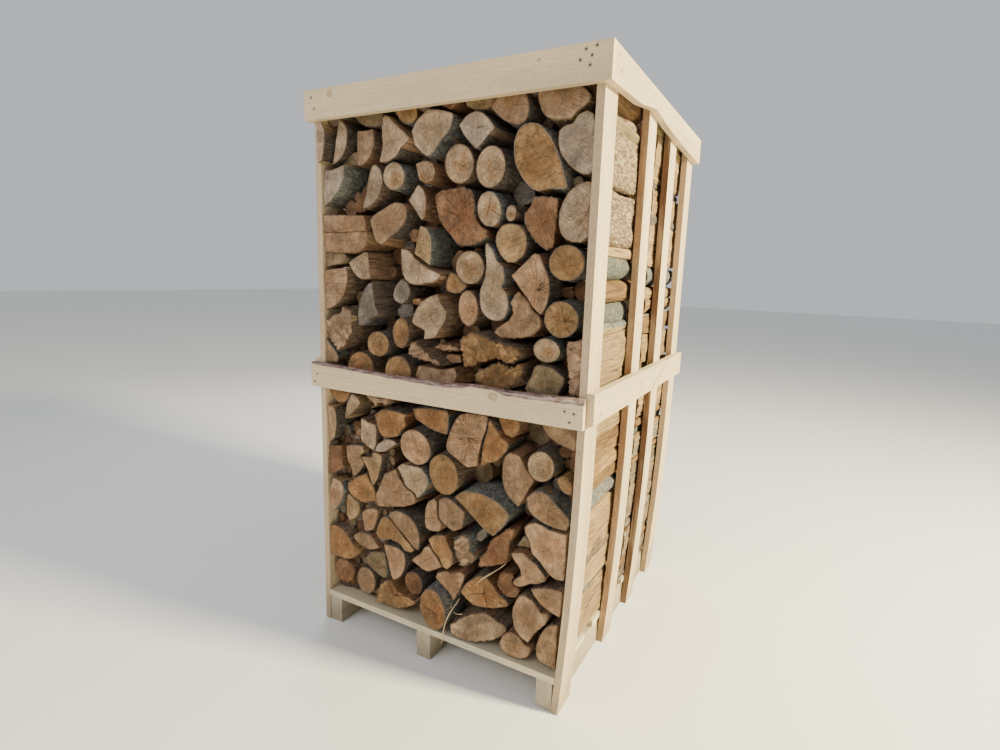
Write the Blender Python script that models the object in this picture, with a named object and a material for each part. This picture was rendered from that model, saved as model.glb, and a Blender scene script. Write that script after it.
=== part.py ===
"""A slatted pallet crate filled with split firewood, in metres with +Z up.

The crate stands on three skids with a deck, has four upright boards on each side, and a top and a
middle rail all round. The firewood lies in two rows, front and rear, each about half a metre long.
"""

import math

import bmesh
import bpy
from mathutils import Vector

# The crate's driving sizes
WIDTH = 1.11
DEPTH = 1.218
HEIGHT = 2.095
BOARD = 0.025
WELD_DISTANCE = 0.00002
STRAIGHT_WITHIN = 0.0005
ROUGHNESS = 0.8
GAP = 0.0003
UPRIGHT_WIDTH = 0.109
SLAT_WIDTH = 0.100
RAIL_HEIGHT = 0.102
UPRIGHT_DROP = 0.010
SKID_HEIGHT = 0.110
SKID_SETBACK = 0.004
SKID_EDGES = (-0.470, -0.078, -0.016, 0.432)
DECK_BOARDS = 7
DECK_BOARD_WIDTH = 0.100
FRONT_MID_RAIL_TOP = 1.107
SIDE_MID_RAIL_TOP = 1.121
MID_RAIL_HEIGHT = 0.098

# The right-hand uprights bow inwards below this height, by this much at the foot
BOW_HEIGHT = 1.0
BOW_AT_FOOT = 0.039
BOW_RUNS = 5

# Places along the depth where the two middle slats of a side begin
SLAT_STARTS = (-0.150, 0.175)

# The firewood
LOG_FACE = -0.589
ROW_LENGTH = 0.489
LENGTH_VARIES = 0.009
LENGTH_STEP = 2.3
CORE_INSET = 0.049
CORE_SIDE_INSET = 0.014
CORE_BACK_INSET = 0.012
CORE_LEVELS = 4
STACK_TOP = 2.040
STACK_BOTTOM = SKID_HEIGHT + BOARD + 2 * GAP
OUTLINE_TOLERANCE = 0.0085
ROUND_SIDES = 10
POCKET_GAP = 0.0008
POCKET_OVERRUN = 0.05
LEAST_CORNER = 0.35
FEWEST_CORNERS = 4
STUB_HIDDEN_END = 0.030
REAR_FLIP = 2.162
REAR_LEAST_SETBACK = -16

HALF_WIDTH = WIDTH / 2
HALF_DEPTH = DEPTH / 2
INNER = HALF_WIDTH - BOARD
DECK_TOP = SKID_HEIGHT + BOARD

# Log ends seen from the front, in millimetres: number, kind, setback, outline clockwise as x, z.
# Four numbers stand for a round log: centre x, centre z, half width, half height.
LOGS = {
    1: ("pale", -38, ((-529, 1968), (-508, 1986), (-489, 1958), (-492, 1905), (-506, 1852),
        (-529, 1843))),
    2: ("pale", 0, ((-456, 1999), (-442, 1997), (-420, 1968), (-417, 1932), (-428, 1893), (-456, 1860),
        (-496, 1840), (-479, 1902))),
    3: ("olive", 30, ((-424, 1886), (-392, 1893), (-379, 1872), (-398, 1846), (-440, 1836),
        (-476, 1840))),
    4: ("tan", 0, ((-373, 1954), (-340, 1950), (-298, 1954), (-292, 1905), (-306, 1860), (-345, 1832),
        (-369, 1834), (-370, 1880))),
    5: ("pale", -6, ((-246, 1986), (-228, 1990), (-180, 1949), (-127, 1908), (-165, 1880),
        (-185, 1855), (-235, 1835), (-269, 1837), (-252, 1888), (-252, 1955))),
    6: ("olive", 12, ((-396, 2000), (-388, 2024), (-258, 2024), (-256, 1962), (-302, 1960),
        (-348, 1968))),
    7: ("amber", 10, ((-206, 2022), (-118, 2022), (-112, 1975), (-130, 1957), (-158, 1955),
        (-185, 1972), (-206, 1998))),
    8: ("pale", 0, ((-125, 1930), (-105, 1960), (-62, 1994), (-20, 1990), (34, 1976), (36, 1955),
        (22, 1920), (-5, 1895), (-35, 1858), (-60, 1842), (-78, 1852), (-112, 1882), (-116, 1905))),
    9: ("silver", -14, ((-529, 1826), (-480, 1824), (-448, 1832), (-420, 1840), (-419, 1795),
        (-436, 1760), (-465, 1730), (-500, 1704), (-529, 1695))),
    10: ("brown", 26, ((-422, 1688), (-388, 1735), (-356, 1772), (-326, 1790), (-331, 1740),
        (-350, 1684), (-386, 1668))),
    11: ("pale", -4, ((-306, 1832), (-288, 1835), (-262, 1815), (-250, 1782), (-253, 1748),
        (-272, 1714), (-308, 1688), (-344, 1680), (-327, 1740), (-320, 1792))),
    12: ("round", 0, (-204, 1789, 46, 48)),
    13: ("round", 4, ((-115, 1826), (-74, 1835), (-44, 1826), (-31, 1795), (-42, 1768), (-70, 1757),
        (-97, 1772))),
    14: ("pale", 2, ((-103, 1760), (-76, 1738), (-64, 1700), (-68, 1646), (-82, 1637), (-144, 1708))),
    15: ("tan", 0, ((-316, 1643), (-297, 1661), (-250, 1684), (-200, 1703), (-163, 1699), (-145, 1677),
        (-152, 1637), (-185, 1602), (-225, 1579), (-262, 1553), (-285, 1566), (-302, 1600))),
    16: ("slab", -16, ((-529, 1660), (-330, 1656), (-320, 1640), (-320, 1606), (-529, 1603))),
    17: ("slab", -12, ((-529, 1600), (-318, 1603), (-314, 1566), (-350, 1562), (-420, 1580),
        (-529, 1590))),
    18: ("slab", -10, ((-529, 1587), (-420, 1577), (-350, 1558), (-332, 1546), (-360, 1530),
        (-420, 1526), (-529, 1530))),
    19: ("amber", -6, ((-529, 1527), (-442, 1523), (-420, 1503), (-428, 1490), (-529, 1474))),
    20: ("peach", -14, ((-529, 1461), (-470, 1468), (-413, 1474), (-411, 1440), (-420, 1402),
        (-446, 1356), (-485, 1324), (-529, 1308))),
    21: ("pale", -4, ((-424, 1492), (-385, 1512), (-340, 1533), (-323, 1528), (-303, 1436),
        (-345, 1430), (-376, 1440), (-402, 1462))),
    22: ("pale", -2, ((-176, 1546), (-135, 1537), (-112, 1513), (-50, 1476), (-2, 1462), (2, 1448),
        (-25, 1430), (-58, 1425), (-102, 1418), (-142, 1430), (-166, 1462), (-172, 1500))),
    23: ("birch", 0, ((-91, 1622), (-62, 1615), (-46, 1592), (-39, 1555), (-44, 1486), (-114, 1526),
        (-100, 1582))),
    24: ("brown", 24, ((-156, 1598), (-140, 1612), (-106, 1612), (-112, 1572), (-128, 1563),
        (-148, 1572))),
    25: ("grey", 0, ((-380, 1256), (-382, 1310), (-372, 1345), (-350, 1384), (-322, 1416),
        (-303, 1426), (-299, 1391), (-291, 1340), (-276, 1306), (-322, 1286), (-352, 1260))),
    26: ("grey", 8, ((-216, 1390), (-202, 1418), (-184, 1437), (-160, 1436), (-140, 1420),
        (-132, 1395), (-148, 1362), (-175, 1347), (-205, 1357), (-219, 1374))),
    27: ("orange", 30, ((-142, 1371), (-112, 1374), (-98, 1360), (-122, 1346), (-146, 1350))),
    28: ("shaggy", -16, ((-529, 1236), (-529, 1268), (-500, 1277), (-486, 1294), (-452, 1304),
        (-450, 1324), (-432, 1328), (-402, 1316), (-391, 1296), (-386, 1245), (-412, 1196),
        (-450, 1160), (-472, 1158), (-529, 1214))),
    29: ("tan", -12, ((-529, 1203), (-518, 1190), (-484, 1154), (-470, 1132), (-476, 1108),
        (-529, 1104))),
    30: ("orange", 6, (-372, 1088, 66, 72)),
    31: ("amber", 0, (-280, 1197, 57, 48)),
    32: ("orange", 0, (-173, 1247, 39, 56)),
    33: ("amber", 4, (-190, 1100, 60, 61)),
    34: ("shaggy", -4, ((-150, 1180), (-140, 1200), (-118, 1226), (-98, 1215), (-72, 1194),
        (-40, 1181), (8, 1158), (26, 1146), (0, 1146), (-60, 1157), (-112, 1163), (-134, 1168))),
    35: ("tan", 6, ((-110, 1100), (-97, 1135), (0, 1131), (55, 1141), (68, 1115), (55, 1078),
        (-20, 1066), (-90, 1072))),
    36: ("pale", -4, ((-123, 1285), (-120, 1303), (-100, 1342), (-75, 1368), (-37, 1387), (-8, 1394),
        (5, 1362), (32, 1332), (24, 1300), (0, 1268), (-20, 1240), (-68, 1232), (-64, 1262),
        (-85, 1268), (-104, 1276))),
    37: ("amber", 16, ((10, 1424), (24, 1470), (54, 1462), (72, 1440), (98, 1424), (76, 1402),
        (45, 1396), (16, 1402))),
    38: ("round", 0, (115, 1485, 56, 56)),
    39: ("pale", -4, ((182, 1568), (203, 1548), (222, 1510), (248, 1490), (252, 1450), (240, 1428),
        (264, 1402), (266, 1356), (248, 1326), (222, 1314), (188, 1321), (161, 1346), (154, 1380),
        (157, 1415), (174, 1452), (180, 1490), (176, 1548))),
    40: ("birch", 0, ((206, 1568), (212, 1596), (232, 1620), (262, 1626), (296, 1618), (318, 1592),
        (323, 1560), (312, 1526), (282, 1502), (252, 1503), (226, 1527))),
    41: ("red", 4, ((333, 1703), (378, 1703), (420, 1698), (418, 1660), (412, 1590), (408, 1552),
        (383, 1541), (352, 1562), (327, 1590), (308, 1625), (304, 1655), (325, 1670))),
    42: ("pale", -4, ((503, 1740), (462, 1721), (438, 1690), (425, 1650), (428, 1610), (441, 1584),
        (468, 1567), (503, 1564), (528, 1584), (528, 1736))),
    43: ("red", 0, ((-35, 1722), (-10, 1736), (55, 1743), (75, 1744), (117, 1731), (127, 1700),
        (131, 1650), (148, 1622), (182, 1602), (186, 1582), (160, 1567), (110, 1554), (66, 1560),
        (25, 1598), (-16, 1645), (-31, 1690))),
    44: ("round", 0, ((137, 1690), (152, 1716), (176, 1727), (200, 1722), (222, 1695), (231, 1655),
        (222, 1628), (200, 1613), (172, 1616), (150, 1634), (137, 1660))),
    45: ("round", 8, (258, 1656, 22, 28)),
    46: ("round", 0, (184, 1798, 56, 66)),
    47: ("round", 0, (66, 1814, 55, 62)),
    48: ("silver", 0, ((62, 1932), (92, 1961), (118, 1970), (150, 1963), (198, 1916), (178, 1896),
        (152, 1868), (131, 1852), (106, 1874), (80, 1902))),
    49: ("olive", 16, ((70, 2022), (190, 2022), (186, 1994), (165, 1978), (120, 1974), (82, 1988))),
    50: ("tan", 0, ((176, 1972), (196, 1998), (214, 2024), (286, 2024), (306, 1994), (313, 1965),
        (310, 1935), (296, 1918), (276, 1911), (230, 1928), (203, 1948))),
    51: ("tan", 4, ((331, 1996), (349, 1949), (372, 1925), (400, 1916), (446, 1914), (468, 1934),
        (500, 1953), (507, 1970), (497, 1986), (478, 2002), (440, 2024), (350, 2024))),
    52: ("silver", 0, ((500, 1934), (470, 1926), (453, 1903), (428, 1899), (410, 1886), (408, 1855),
        (422, 1817), (449, 1785), (485, 1761), (512, 1755), (528, 1768), (528, 1890), (520, 1922))),
    53: ("amber", -6, ((308, 1915), (349, 1910), (378, 1884), (398, 1856), (424, 1798), (448, 1725),
        (425, 1721), (390, 1724), (353, 1716), (330, 1727), (300, 1757), (278, 1798), (270, 1836),
        (275, 1878), (288, 1902))),
    54: ("peach", -4, ((348, 1535), (368, 1532), (384, 1503), (400, 1470), (408, 1435), (404, 1392),
        (391, 1356), (377, 1344), (352, 1366), (331, 1394), (300, 1430), (273, 1463), (305, 1492),
        (328, 1514))),
    55: ("tan", 6, ((292, 1412), (302, 1414), (326, 1388), (350, 1358), (376, 1334), (374, 1304),
        (350, 1274), (300, 1264), (242, 1262), (207, 1278), (232, 1302), (262, 1318), (278, 1345),
        (272, 1388))),
    56: ("amber", -4, (459, 1506, 58, 55)),
    57: ("amber", -4, (450, 1336, 60, 58)),
    58: ("round", 0, (405, 1236, 49, 40)),
    59: ("fibre", 0, ((469, 1264), (503, 1275), (528, 1286), (528, 1100), (490, 1100), (484, 1135),
        (477, 1190))),
    60: ("olive", 0, ((379, 1190), (430, 1184), (472, 1156), (466, 1130), (450, 1100), (440, 1078),
        (350, 1078), (334, 1104), (344, 1127), (356, 1150), (366, 1180))),
    61: ("amber", -6, ((86, 1245), (108, 1264), (160, 1272), (205, 1253), (265, 1244), (316, 1229),
        (326, 1214), (308, 1196), (285, 1180), (240, 1191), (218, 1190), (155, 1170), (98, 1145),
        (87, 1180), (83, 1222))),
    62: ("amber", 2, ((128, 1124), (160, 1150), (215, 1176), (240, 1180), (285, 1168), (308, 1184),
        (324, 1182), (328, 1150), (318, 1124), (290, 1105), (240, 1084), (172, 1084), (150, 1110))),
    63: ("fibre", 16, ((-14, 1222), (30, 1220), (64, 1212), (62, 1200), (-8, 1196), (-38, 1206))),
    64: ("red", 20, ((16, 1188), (74, 1186), (80, 1160), (36, 1156), (6, 1168))),
    65: ("orange", 0, (-472, 1012, 56, 66)),
    66: ("pale", 0, ((-411, 994), (-380, 986), (-363, 960), (-385, 936), (-430, 898), (-454, 880),
        (-460, 890), (-446, 940), (-428, 970))),
    67: ("shaggy", 6, ((-360, 1010), (-226, 1006), (-222, 978), (-248, 962), (-284, 972), (-316, 942),
        (-322, 950), (-306, 972), (-345, 980))),
    68: ("orange", -4, ((-298, 924), (-280, 939), (-250, 954), (-188, 955), (-134, 950), (-152, 930),
        (-144, 908), (-166, 884), (-184, 858), (-205, 850), (-248, 841), (-266, 848), (-283, 876),
        (-287, 905))),
    69: ("pale", 0, ((-373, 900), (-350, 897), (-335, 889), (-293, 885), (-289, 850), (-291, 800),
        (-304, 781), (-318, 785), (-350, 800), (-370, 813), (-369, 860))),
    70: ("silver", 2, ((-298, 779), (-286, 811), (-243, 837), (-205, 834), (-193, 825), (-225, 800),
        (-252, 783), (-285, 778))),
    71: ("peach", 0, (-105, 829, 73, 69)),
    72: ("amber", 0, (22, 749, 68, 78)),
    73: ("peach", -14, ((-529, 934), (-494, 931), (-481, 912), (-480, 860), (-493, 802), (-524, 776),
        (-529, 774))),
    74: ("brown", -14, ((-529, 766), (-500, 770), (-458, 778), (-456, 706), (-441, 690), (-476, 665),
        (-529, 643))),
    75: ("tan", 2, ((-451, 774), (-403, 788), (-357, 793), (-347, 766), (-376, 746), (-352, 714),
        (-390, 667), (-420, 645), (-433, 690), (-449, 715))),
    76: ("birch", -2, ((-372, 742), (-314, 751), (-309, 774), (-257, 772), (-258, 745), (-268, 705),
        (-282, 667), (-306, 637), (-320, 656), (-336, 696), (-349, 714))),
    77: ("orange", 0, ((-438, 622), (-415, 638), (-385, 661), (-344, 680), (-324, 650), (-307, 631),
        (-298, 600), (-297, 575), (-330, 562), (-358, 553), (-410, 566), (-436, 590))),
    78: ("tan", -2, ((-250, 699), (-206, 722), (-193, 728), (-180, 699), (-150, 666), (-110, 645),
        (-101, 625), (-104, 606), (-165, 580), (-215, 570), (-262, 559), (-284, 559), (-294, 590),
        (-290, 610), (-264, 660))),
    79: ("pale", 0, ((-187, 738), (-164, 756), (-75, 754), (-51, 728), (-43, 698), (-63, 662),
        (-95, 628), (-106, 650), (-145, 667), (-163, 697))),
    80: ("peach", -4, ((92, 985), (137, 995), (200, 993), (195, 945), (179, 900), (170, 850),
        (168, 811), (129, 799), (92, 818), (50, 843), (38, 862), (48, 900), (61, 942), (79, 974))),
    81: ("orange", -2, ((206, 988), (222, 974), (240, 950), (257, 928), (284, 912), (282, 890),
        (257, 856), (240, 840), (200, 824), (179, 808), (180, 858), (188, 906), (202, 951))),
    82: ("orange", 14, ((226, 1004), (314, 1000), (318, 970), (303, 938), (289, 928), (262, 932),
        (245, 956))),
    83: ("tan", 0, ((400, 1000), (406, 984), (428, 958), (462, 940), (505, 928), (520, 924),
        (522, 1040), (425, 1040))),
    84: ("round", 0, (404, 855, 50, 52)),
    85: ("tan", -2, ((272, 866), (290, 886), (326, 878), (350, 836), (382, 800), (349, 736),
        (328, 696), (291, 728), (271, 766), (264, 815))),
    86: ("amber", 0, ((462, 824), (478, 839), (496, 839), (518, 812), (518, 780), (490, 783),
        (465, 806))),
    87: ("brown", 36, ((492, 915), (520, 915), (520, 835), (502, 846), (488, 862))),
    88: ("tan", -4, ((361, 742), (383, 767), (413, 777), (440, 766), (466, 741), (500, 712),
        (514, 696), (512, 670), (502, 652), (447, 657), (402, 673), (372, 698))),
    89: ("amber", 0, ((62, 670), (85, 691), (100, 700), (137, 710), (190, 711), (242, 700), (287, 678),
        (300, 660), (279, 618), (240, 571), (200, 586), (144, 622), (126, 633), (92, 652))),
    90: ("tan", 0, ((0, 648), (28, 663), (58, 662), (92, 644), (120, 628), (117, 600), (110, 565),
        (70, 543), (25, 562), (3, 580), (-1, 615))),
    91: ("peach", 4, ((-62, 600), (-50, 630), (-22, 646), (-8, 638), (-6, 600), (-2, 576), (17, 560),
        (16, 532), (0, 522), (-37, 516), (-58, 521), (-64, 548))),
    92: ("peach", -14, ((-506, 636), (-462, 627), (-448, 600), (-454, 560), (-477, 522), (-506, 489),
        (-529, 474), (-529, 570))),
    93: ("birch", 0, ((-446, 570), (-433, 578), (-411, 561), (-378, 550), (-374, 520), (-382, 500),
        (-404, 474), (-437, 456), (-457, 478), (-451, 527))),
    94: ("peach", -2, ((-368, 512), (-349, 529), (-302, 548), (-277, 545), (-282, 515), (-302, 464),
        (-316, 447), (-347, 432), (-360, 435), (-360, 482))),
    95: ("tan", -2, ((-227, 531), (-222, 551), (-187, 563), (-148, 558), (-111, 537), (-87, 497),
        (-79, 460), (-85, 425), (-101, 429), (-167, 482))),
    96: ("amber", 0, ((-302, 437), (-290, 471), (-269, 511), (-243, 526), (-232, 526), (-171, 476),
        (-105, 422), (-117, 407), (-152, 405), (-176, 427), (-225, 432), (-262, 416), (-290, 420))),
    97: ("orange", -14, ((-529, 424), (-500, 430), (-467, 425), (-428, 398), (-410, 374), (-366, 352),
        (-377, 331), (-411, 304), (-460, 293), (-529, 298))),
    98: ("tan", 0, ((-421, 396), (-396, 416), (-362, 426), (-329, 428), (-306, 410), (-278, 389),
        (-284, 376), (-328, 363), (-373, 368), (-403, 380))),
    99: ("peach", -2, ((-262, 403), (-187, 410), (-152, 396), (-142, 366), (-151, 322), (-169, 292),
        (-202, 268), (-216, 285), (-230, 321), (-248, 366))),
    100: ("olive", 0, ((-354, 315), (-342, 333), (-320, 357), (-256, 367), (-244, 329), (-237, 285),
        (-241, 266), (-255, 261), (-300, 275), (-337, 297))),
    101: ("red", 0, (-468, 230, 53, 54)),
    102: ("tan", 0, (-348, 222, 46, 60)),
    103: ("brown", 4, (-112, 280, 45, 48)),
    104: ("amber", -4, ((-284, 202), (-269, 233), (-240, 260), (-214, 260), (-194, 228), (-150, 218),
        (-86, 216), (-101, 196), (-138, 172), (-200, 153), (-262, 150), (-300, 152), (-290, 175))),
    105: ("orange", -30, (2, 226, 62, 84)),
    106: ("olive", -6, ((76, 152), (70, 180), (103, 210), (148, 243), (190, 263), (215, 270),
        (242, 257), (294, 238), (303, 228), (270, 188), (222, 159), (160, 140), (110, 138))),
    107: ("tan", -4, ((274, 172), (288, 209), (317, 234), (350, 227), (376, 205), (400, 203),
        (397, 176), (383, 156), (352, 141), (315, 138), (286, 147))),
    108: ("olive", 0, ((416, 210), (430, 262), (453, 299), (473, 313), (493, 319), (493, 150),
        (428, 158), (417, 178))),
    109: ("tan", -2, ((322, 310), (328, 347), (346, 380), (362, 388), (398, 375), (430, 343),
        (459, 346), (453, 310), (426, 276), (404, 248), (388, 215), (361, 224), (329, 258))),
    110: ("tan", 0, ((386, 418), (405, 426), (450, 439), (503, 443), (501, 346), (466, 354),
        (430, 372), (404, 393))),
    111: ("peach", -2, ((309, 529), (353, 544), (384, 529), (410, 514), (442, 478), (441, 460),
        (410, 439), (384, 432), (354, 411), (330, 405), (315, 415), (324, 434), (348, 455), (346, 474),
        (335, 490), (318, 508))),
    112: ("peach", 0, ((355, 636), (376, 655), (402, 662), (447, 648), (508, 644), (506, 476),
        (484, 475), (450, 485), (412, 524), (385, 547), (377, 583), (359, 612))),
    113: ("red", 0, ((225, 549), (262, 584), (290, 614), (318, 616), (316, 590), (300, 560),
        (298, 520), (292, 480), (250, 464), (205, 443), (178, 442), (182, 470), (207, 501))),
    114: ("brown", 6, ((252, 400), (262, 434), (286, 446), (312, 446), (320, 436), (311, 416),
        (326, 402), (343, 399), (342, 378), (320, 359), (290, 355), (264, 368))),
    115: ("orange", -2, ((110, 325), (131, 361), (165, 394), (192, 410), (218, 409), (240, 382),
        (264, 357), (288, 346), (304, 327), (297, 314), (242, 294), (174, 282), (144, 294))),
    116: ("peach", 0, ((-12, 338), (3, 361), (36, 380), (62, 376), (104, 394), (122, 387), (120, 366),
        (106, 328), (90, 290), (76, 270), (56, 294), (24, 316))),
    117: ("shaggy", 0, ((73, 489), (78, 519), (103, 536), (129, 535), (143, 519), (150, 482),
        (168, 471), (159, 449), (137, 434), (113, 412), (98, 415), (85, 440), (76, 462))),
    118: ("amber", 0, ((-44, 484), (-20, 503), (0, 511), (28, 515), (50, 480), (69, 452), (71, 415),
        (48, 388), (30, 392), (6, 427), (-18, 444), (-35, 466))),
    119: ("peach", -2, ((-120, 378), (-96, 402), (-74, 418), (-60, 446), (-38, 456), (-19, 438),
        (3, 420), (26, 391), (2, 376), (-20, 362), (-45, 354), (-78, 361))),
    120: ("grey", 30, ((146, 520), (152, 548), (176, 571), (194, 566), (190, 540), (168, 516))),
    121: ("olive", 16, ((320, 548), (340, 586), (352, 596), (368, 578), (372, 550), (352, 552))),
    122: ("orange", 2, ((-121, 972), (-86, 981), (-35, 987), (30, 988), (40, 975), (40, 925),
        (35, 899), (2, 900), (-45, 911), (-80, 923), (-105, 938))),
}

# The large logs are pieces of their own; the small ones are packed in one solid for each half row
OWN_LOGS = (8, 15, 20, 28, 30, 36, 39, 41, 42, 43, 51, 52, 53, 54, 55, 61, 62, 71, 72, 78, 80, 85,
            89, 97, 104, 105, 106, 109, 112, 115)
SPLIT_HEIGHT = 1.052

COLOURS = {
    "round": (0.62, 0.47, 0.33),
    "pale": (0.68, 0.56, 0.44),
    "silver": (0.66, 0.58, 0.50),
    "birch": (0.72, 0.58, 0.38),
    "tan": (0.55, 0.40, 0.26),
    "peach": (0.62, 0.43, 0.29),
    "amber": (0.50, 0.29, 0.12),
    "orange": (0.52, 0.24, 0.09),
    "red": (0.42, 0.17, 0.08),
    "brown": (0.33, 0.18, 0.09),
    "olive": (0.45, 0.38, 0.24),
    "grey": (0.42, 0.38, 0.36),
    "slab": (0.56, 0.38, 0.22),
    "fibre": (0.60, 0.44, 0.33),
    "shaggy": (0.64, 0.49, 0.37),
    "bark": (0.12, 0.10, 0.08),
    "board": (0.66, 0.55, 0.40),
}


def clear_scene():
    """Removes every object of the scene."""
    for obj in list(bpy.data.objects):
        bpy.data.objects.remove(obj, do_unlink=True)


def new_collection(name):
    """A new collection of the scene."""
    found = bpy.data.collections.new(name)
    bpy.context.scene.collection.children.link(found)
    return found


def wood(name, kind):
    """A plain wood material of one kind's colour."""
    material = bpy.data.materials.new(name)
    material.use_nodes = True
    shader = material.node_tree.nodes["Principled BSDF"]
    shader.inputs["Base Color"].default_value = (*COLOURS[kind], 1)
    shader.inputs["Roughness"].default_value = ROUGHNESS
    shader.inputs["Metallic"].default_value = 0.0
    return material


def add_object(name, mesh, kind, collection):
    """An object of a mesh, with a material of its own."""
    obj = bpy.data.objects.new(name, mesh)
    mesh.materials.append(wood(name + "_wood", kind))
    collection.objects.link(obj)
    return obj


def box(name, low, high, kind, collection):
    """A board given by its lowest and highest corners."""
    mesh = bpy.data.meshes.new(name)
    build = bmesh.new()
    bmesh.ops.create_cube(build, size=1.0)
    size = [b - a for a, b in zip(low, high)]
    bmesh.ops.scale(build, vec=size, verts=build.verts)
    build.to_mesh(mesh)
    build.free()
    obj = add_object(name, mesh, kind, collection)
    obj.location = [(a + b) / 2 for a, b in zip(low, high)]
    return obj


def flat_solid(name, outline, start, end, across, kind, collection):
    """A solid with a flat outline: a filled curve, extruded and made a mesh with welded caps.

    The outline holds (x, z) and runs along Y between start and end, or with across set it holds
    (y, z) and runs along X.
    """
    curve = bpy.data.curves.new(name + "_outline", "CURVE")
    curve.dimensions = "2D"
    curve.fill_mode = "BOTH"
    curve.extrude = (end - start) / 2
    spline = curve.splines.new("POLY")
    spline.points.add(len(outline) - 1)
    for point, (u, v) in zip(spline.points, outline):
        point.co = (u, v, 0, 1)
    spline.use_cyclic_u = True
    guide = bpy.data.objects.new(name + "_outline", curve)
    middle = (start + end) / 2
    if across:
        guide.rotation_euler = (math.pi / 2, 0, math.pi / 2)
        guide.location = (middle, 0, 0)
    else:
        guide.rotation_euler = (math.pi / 2, 0, 0)
        guide.location = (0, middle, 0)
    collection.objects.link(guide)
    bpy.context.view_layer.update()
    evaluated = guide.evaluated_get(bpy.context.evaluated_depsgraph_get())
    mesh = bpy.data.meshes.new_from_object(evaluated)
    mesh.name = name
    build = bmesh.new()
    build.from_mesh(mesh)
    bmesh.ops.remove_doubles(build, verts=build.verts, dist=WELD_DISTANCE)
    bmesh.ops.dissolve_limit(build, angle_limit=STRAIGHT_WITHIN, verts=build.verts, edges=build.edges)
    bmesh.ops.recalc_face_normals(build, faces=build.faces)
    build.to_mesh(mesh)
    build.free()
    mesh.materials.clear()
    obj = add_object(name, mesh, kind, collection)
    obj.matrix_world = guide.matrix_world.copy()
    bpy.data.objects.remove(guide, do_unlink=True)
    return obj


def bow(z):
    """How far the right-hand uprights stand in from the vertical at a height, bent in short runs."""
    if z >= BOW_HEIGHT:
        return 0.0
    step = BOW_HEIGHT / BOW_RUNS
    below = math.floor(z / step) * step
    lower, upper = (BOW_AT_FOOT * (1 - level / BOW_HEIGHT) ** 2 for level in (below, below + step))
    return lower + (upper - lower) * (z - below) / step


def right_inner(z):
    """The inner face of the right-hand uprights at a height."""
    return INNER - bow(z)


def upright(name, side, start, width, collection):
    """One upright board of a side: straight on the left, bowed at its foot on the right."""
    top = HEIGHT - UPRIGHT_DROP
    if side < 0:
        low = (-HALF_WIDTH, start, 0)
        high = (-INNER, start + width, top)
        return box(name, low, high, "board", collection)
    heights = [BOW_HEIGHT * k / BOW_RUNS for k in range(BOW_RUNS + 1)] + [top]
    outer = [(HALF_WIDTH - bow(z), z) for z in heights]
    inner = [(INNER - bow(z), z) for z in reversed(heights)]
    return flat_solid(name, outer + inner, start, start + width, False, "board", collection)


def make_uprights(collection):
    """The four upright boards of each side."""
    for side, word in ((-1, "left"), (1, "right")):
        upright(f"post_{word}_front", side, -HALF_DEPTH, UPRIGHT_WIDTH, collection)
        for number, start in enumerate(SLAT_STARTS, 1):
            upright(f"slat_{word}_{number}", side, start, SLAT_WIDTH, collection)
        rear = HALF_DEPTH - UPRIGHT_WIDTH
        upright(f"post_{word}_rear", side, rear, UPRIGHT_WIDTH, collection)


def wavy_edge(start, end, level, dips):
    """Points along a waney edge: straight at a level, moved by (place, amount) at each dip."""
    points = [(start, level)]
    points += [(start + (end - start) * place, level + amount) for place, amount in dips]
    points.append((end, level))
    return points


def end_rail(name, face, side, low, high, left, right, dips, collection):
    """A rail across the front (side -1) or the rear (side 1), with a waney top edge."""
    bottom = [(right, low), (left, low)]
    outline = wavy_edge(left, right, high, dips) + bottom
    near = face + side * GAP
    far = face + side * BOARD
    return flat_solid(name, outline, min(near, far), max(near, far), False, "board", collection)


def side_rail(name, side, low, high, dips, collection):
    """A rail along a side, between the end rails, with a waney lower edge."""
    reach = HALF_DEPTH - GAP
    outline = wavy_edge(-reach, reach, low, dips) + [(reach, high), (-reach, high)]
    near = side * (HALF_WIDTH + GAP)
    far = side * (HALF_WIDTH + BOARD)
    return flat_solid(name, outline, min(near, far), max(near, far), True, "board", collection)


def make_rails(collection):
    """The top and middle rails all round."""
    top_low = HEIGHT - RAIL_HEIGHT
    reach = HALF_WIDTH + BOARD
    mid_low = FRONT_MID_RAIL_TOP - MID_RAIL_HEIGHT
    waney = ((0.18, -0.006), (0.38, -0.012), (0.55, -0.012), (0.66, -0.002), (0.76, -0.008))
    for side, word in ((-1, "front"), (1, "rear")):
        face = side * HALF_DEPTH
        end_rail(f"top_rail_{word}", face, side, top_low, HEIGHT, -reach, reach, (), collection)
        end_rail(f"mid_rail_{word}", face, side, mid_low, FRONT_MID_RAIL_TOP, -reach, HALF_WIDTH,
                 waney, collection)
    kink = ((0.22, 0.012), (0.37, 0.040), (0.52, 0.022), (0.80, 0.006))
    side_low = SIDE_MID_RAIL_TOP - MID_RAIL_HEIGHT
    for side, word in ((-1, "left"), (1, "right")):
        side_rail(f"top_rail_{word}", side, top_low, HEIGHT, kink, collection)
        side_rail(f"mid_rail_{word}", side, side_low, SIDE_MID_RAIL_TOP, (), collection)


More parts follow.
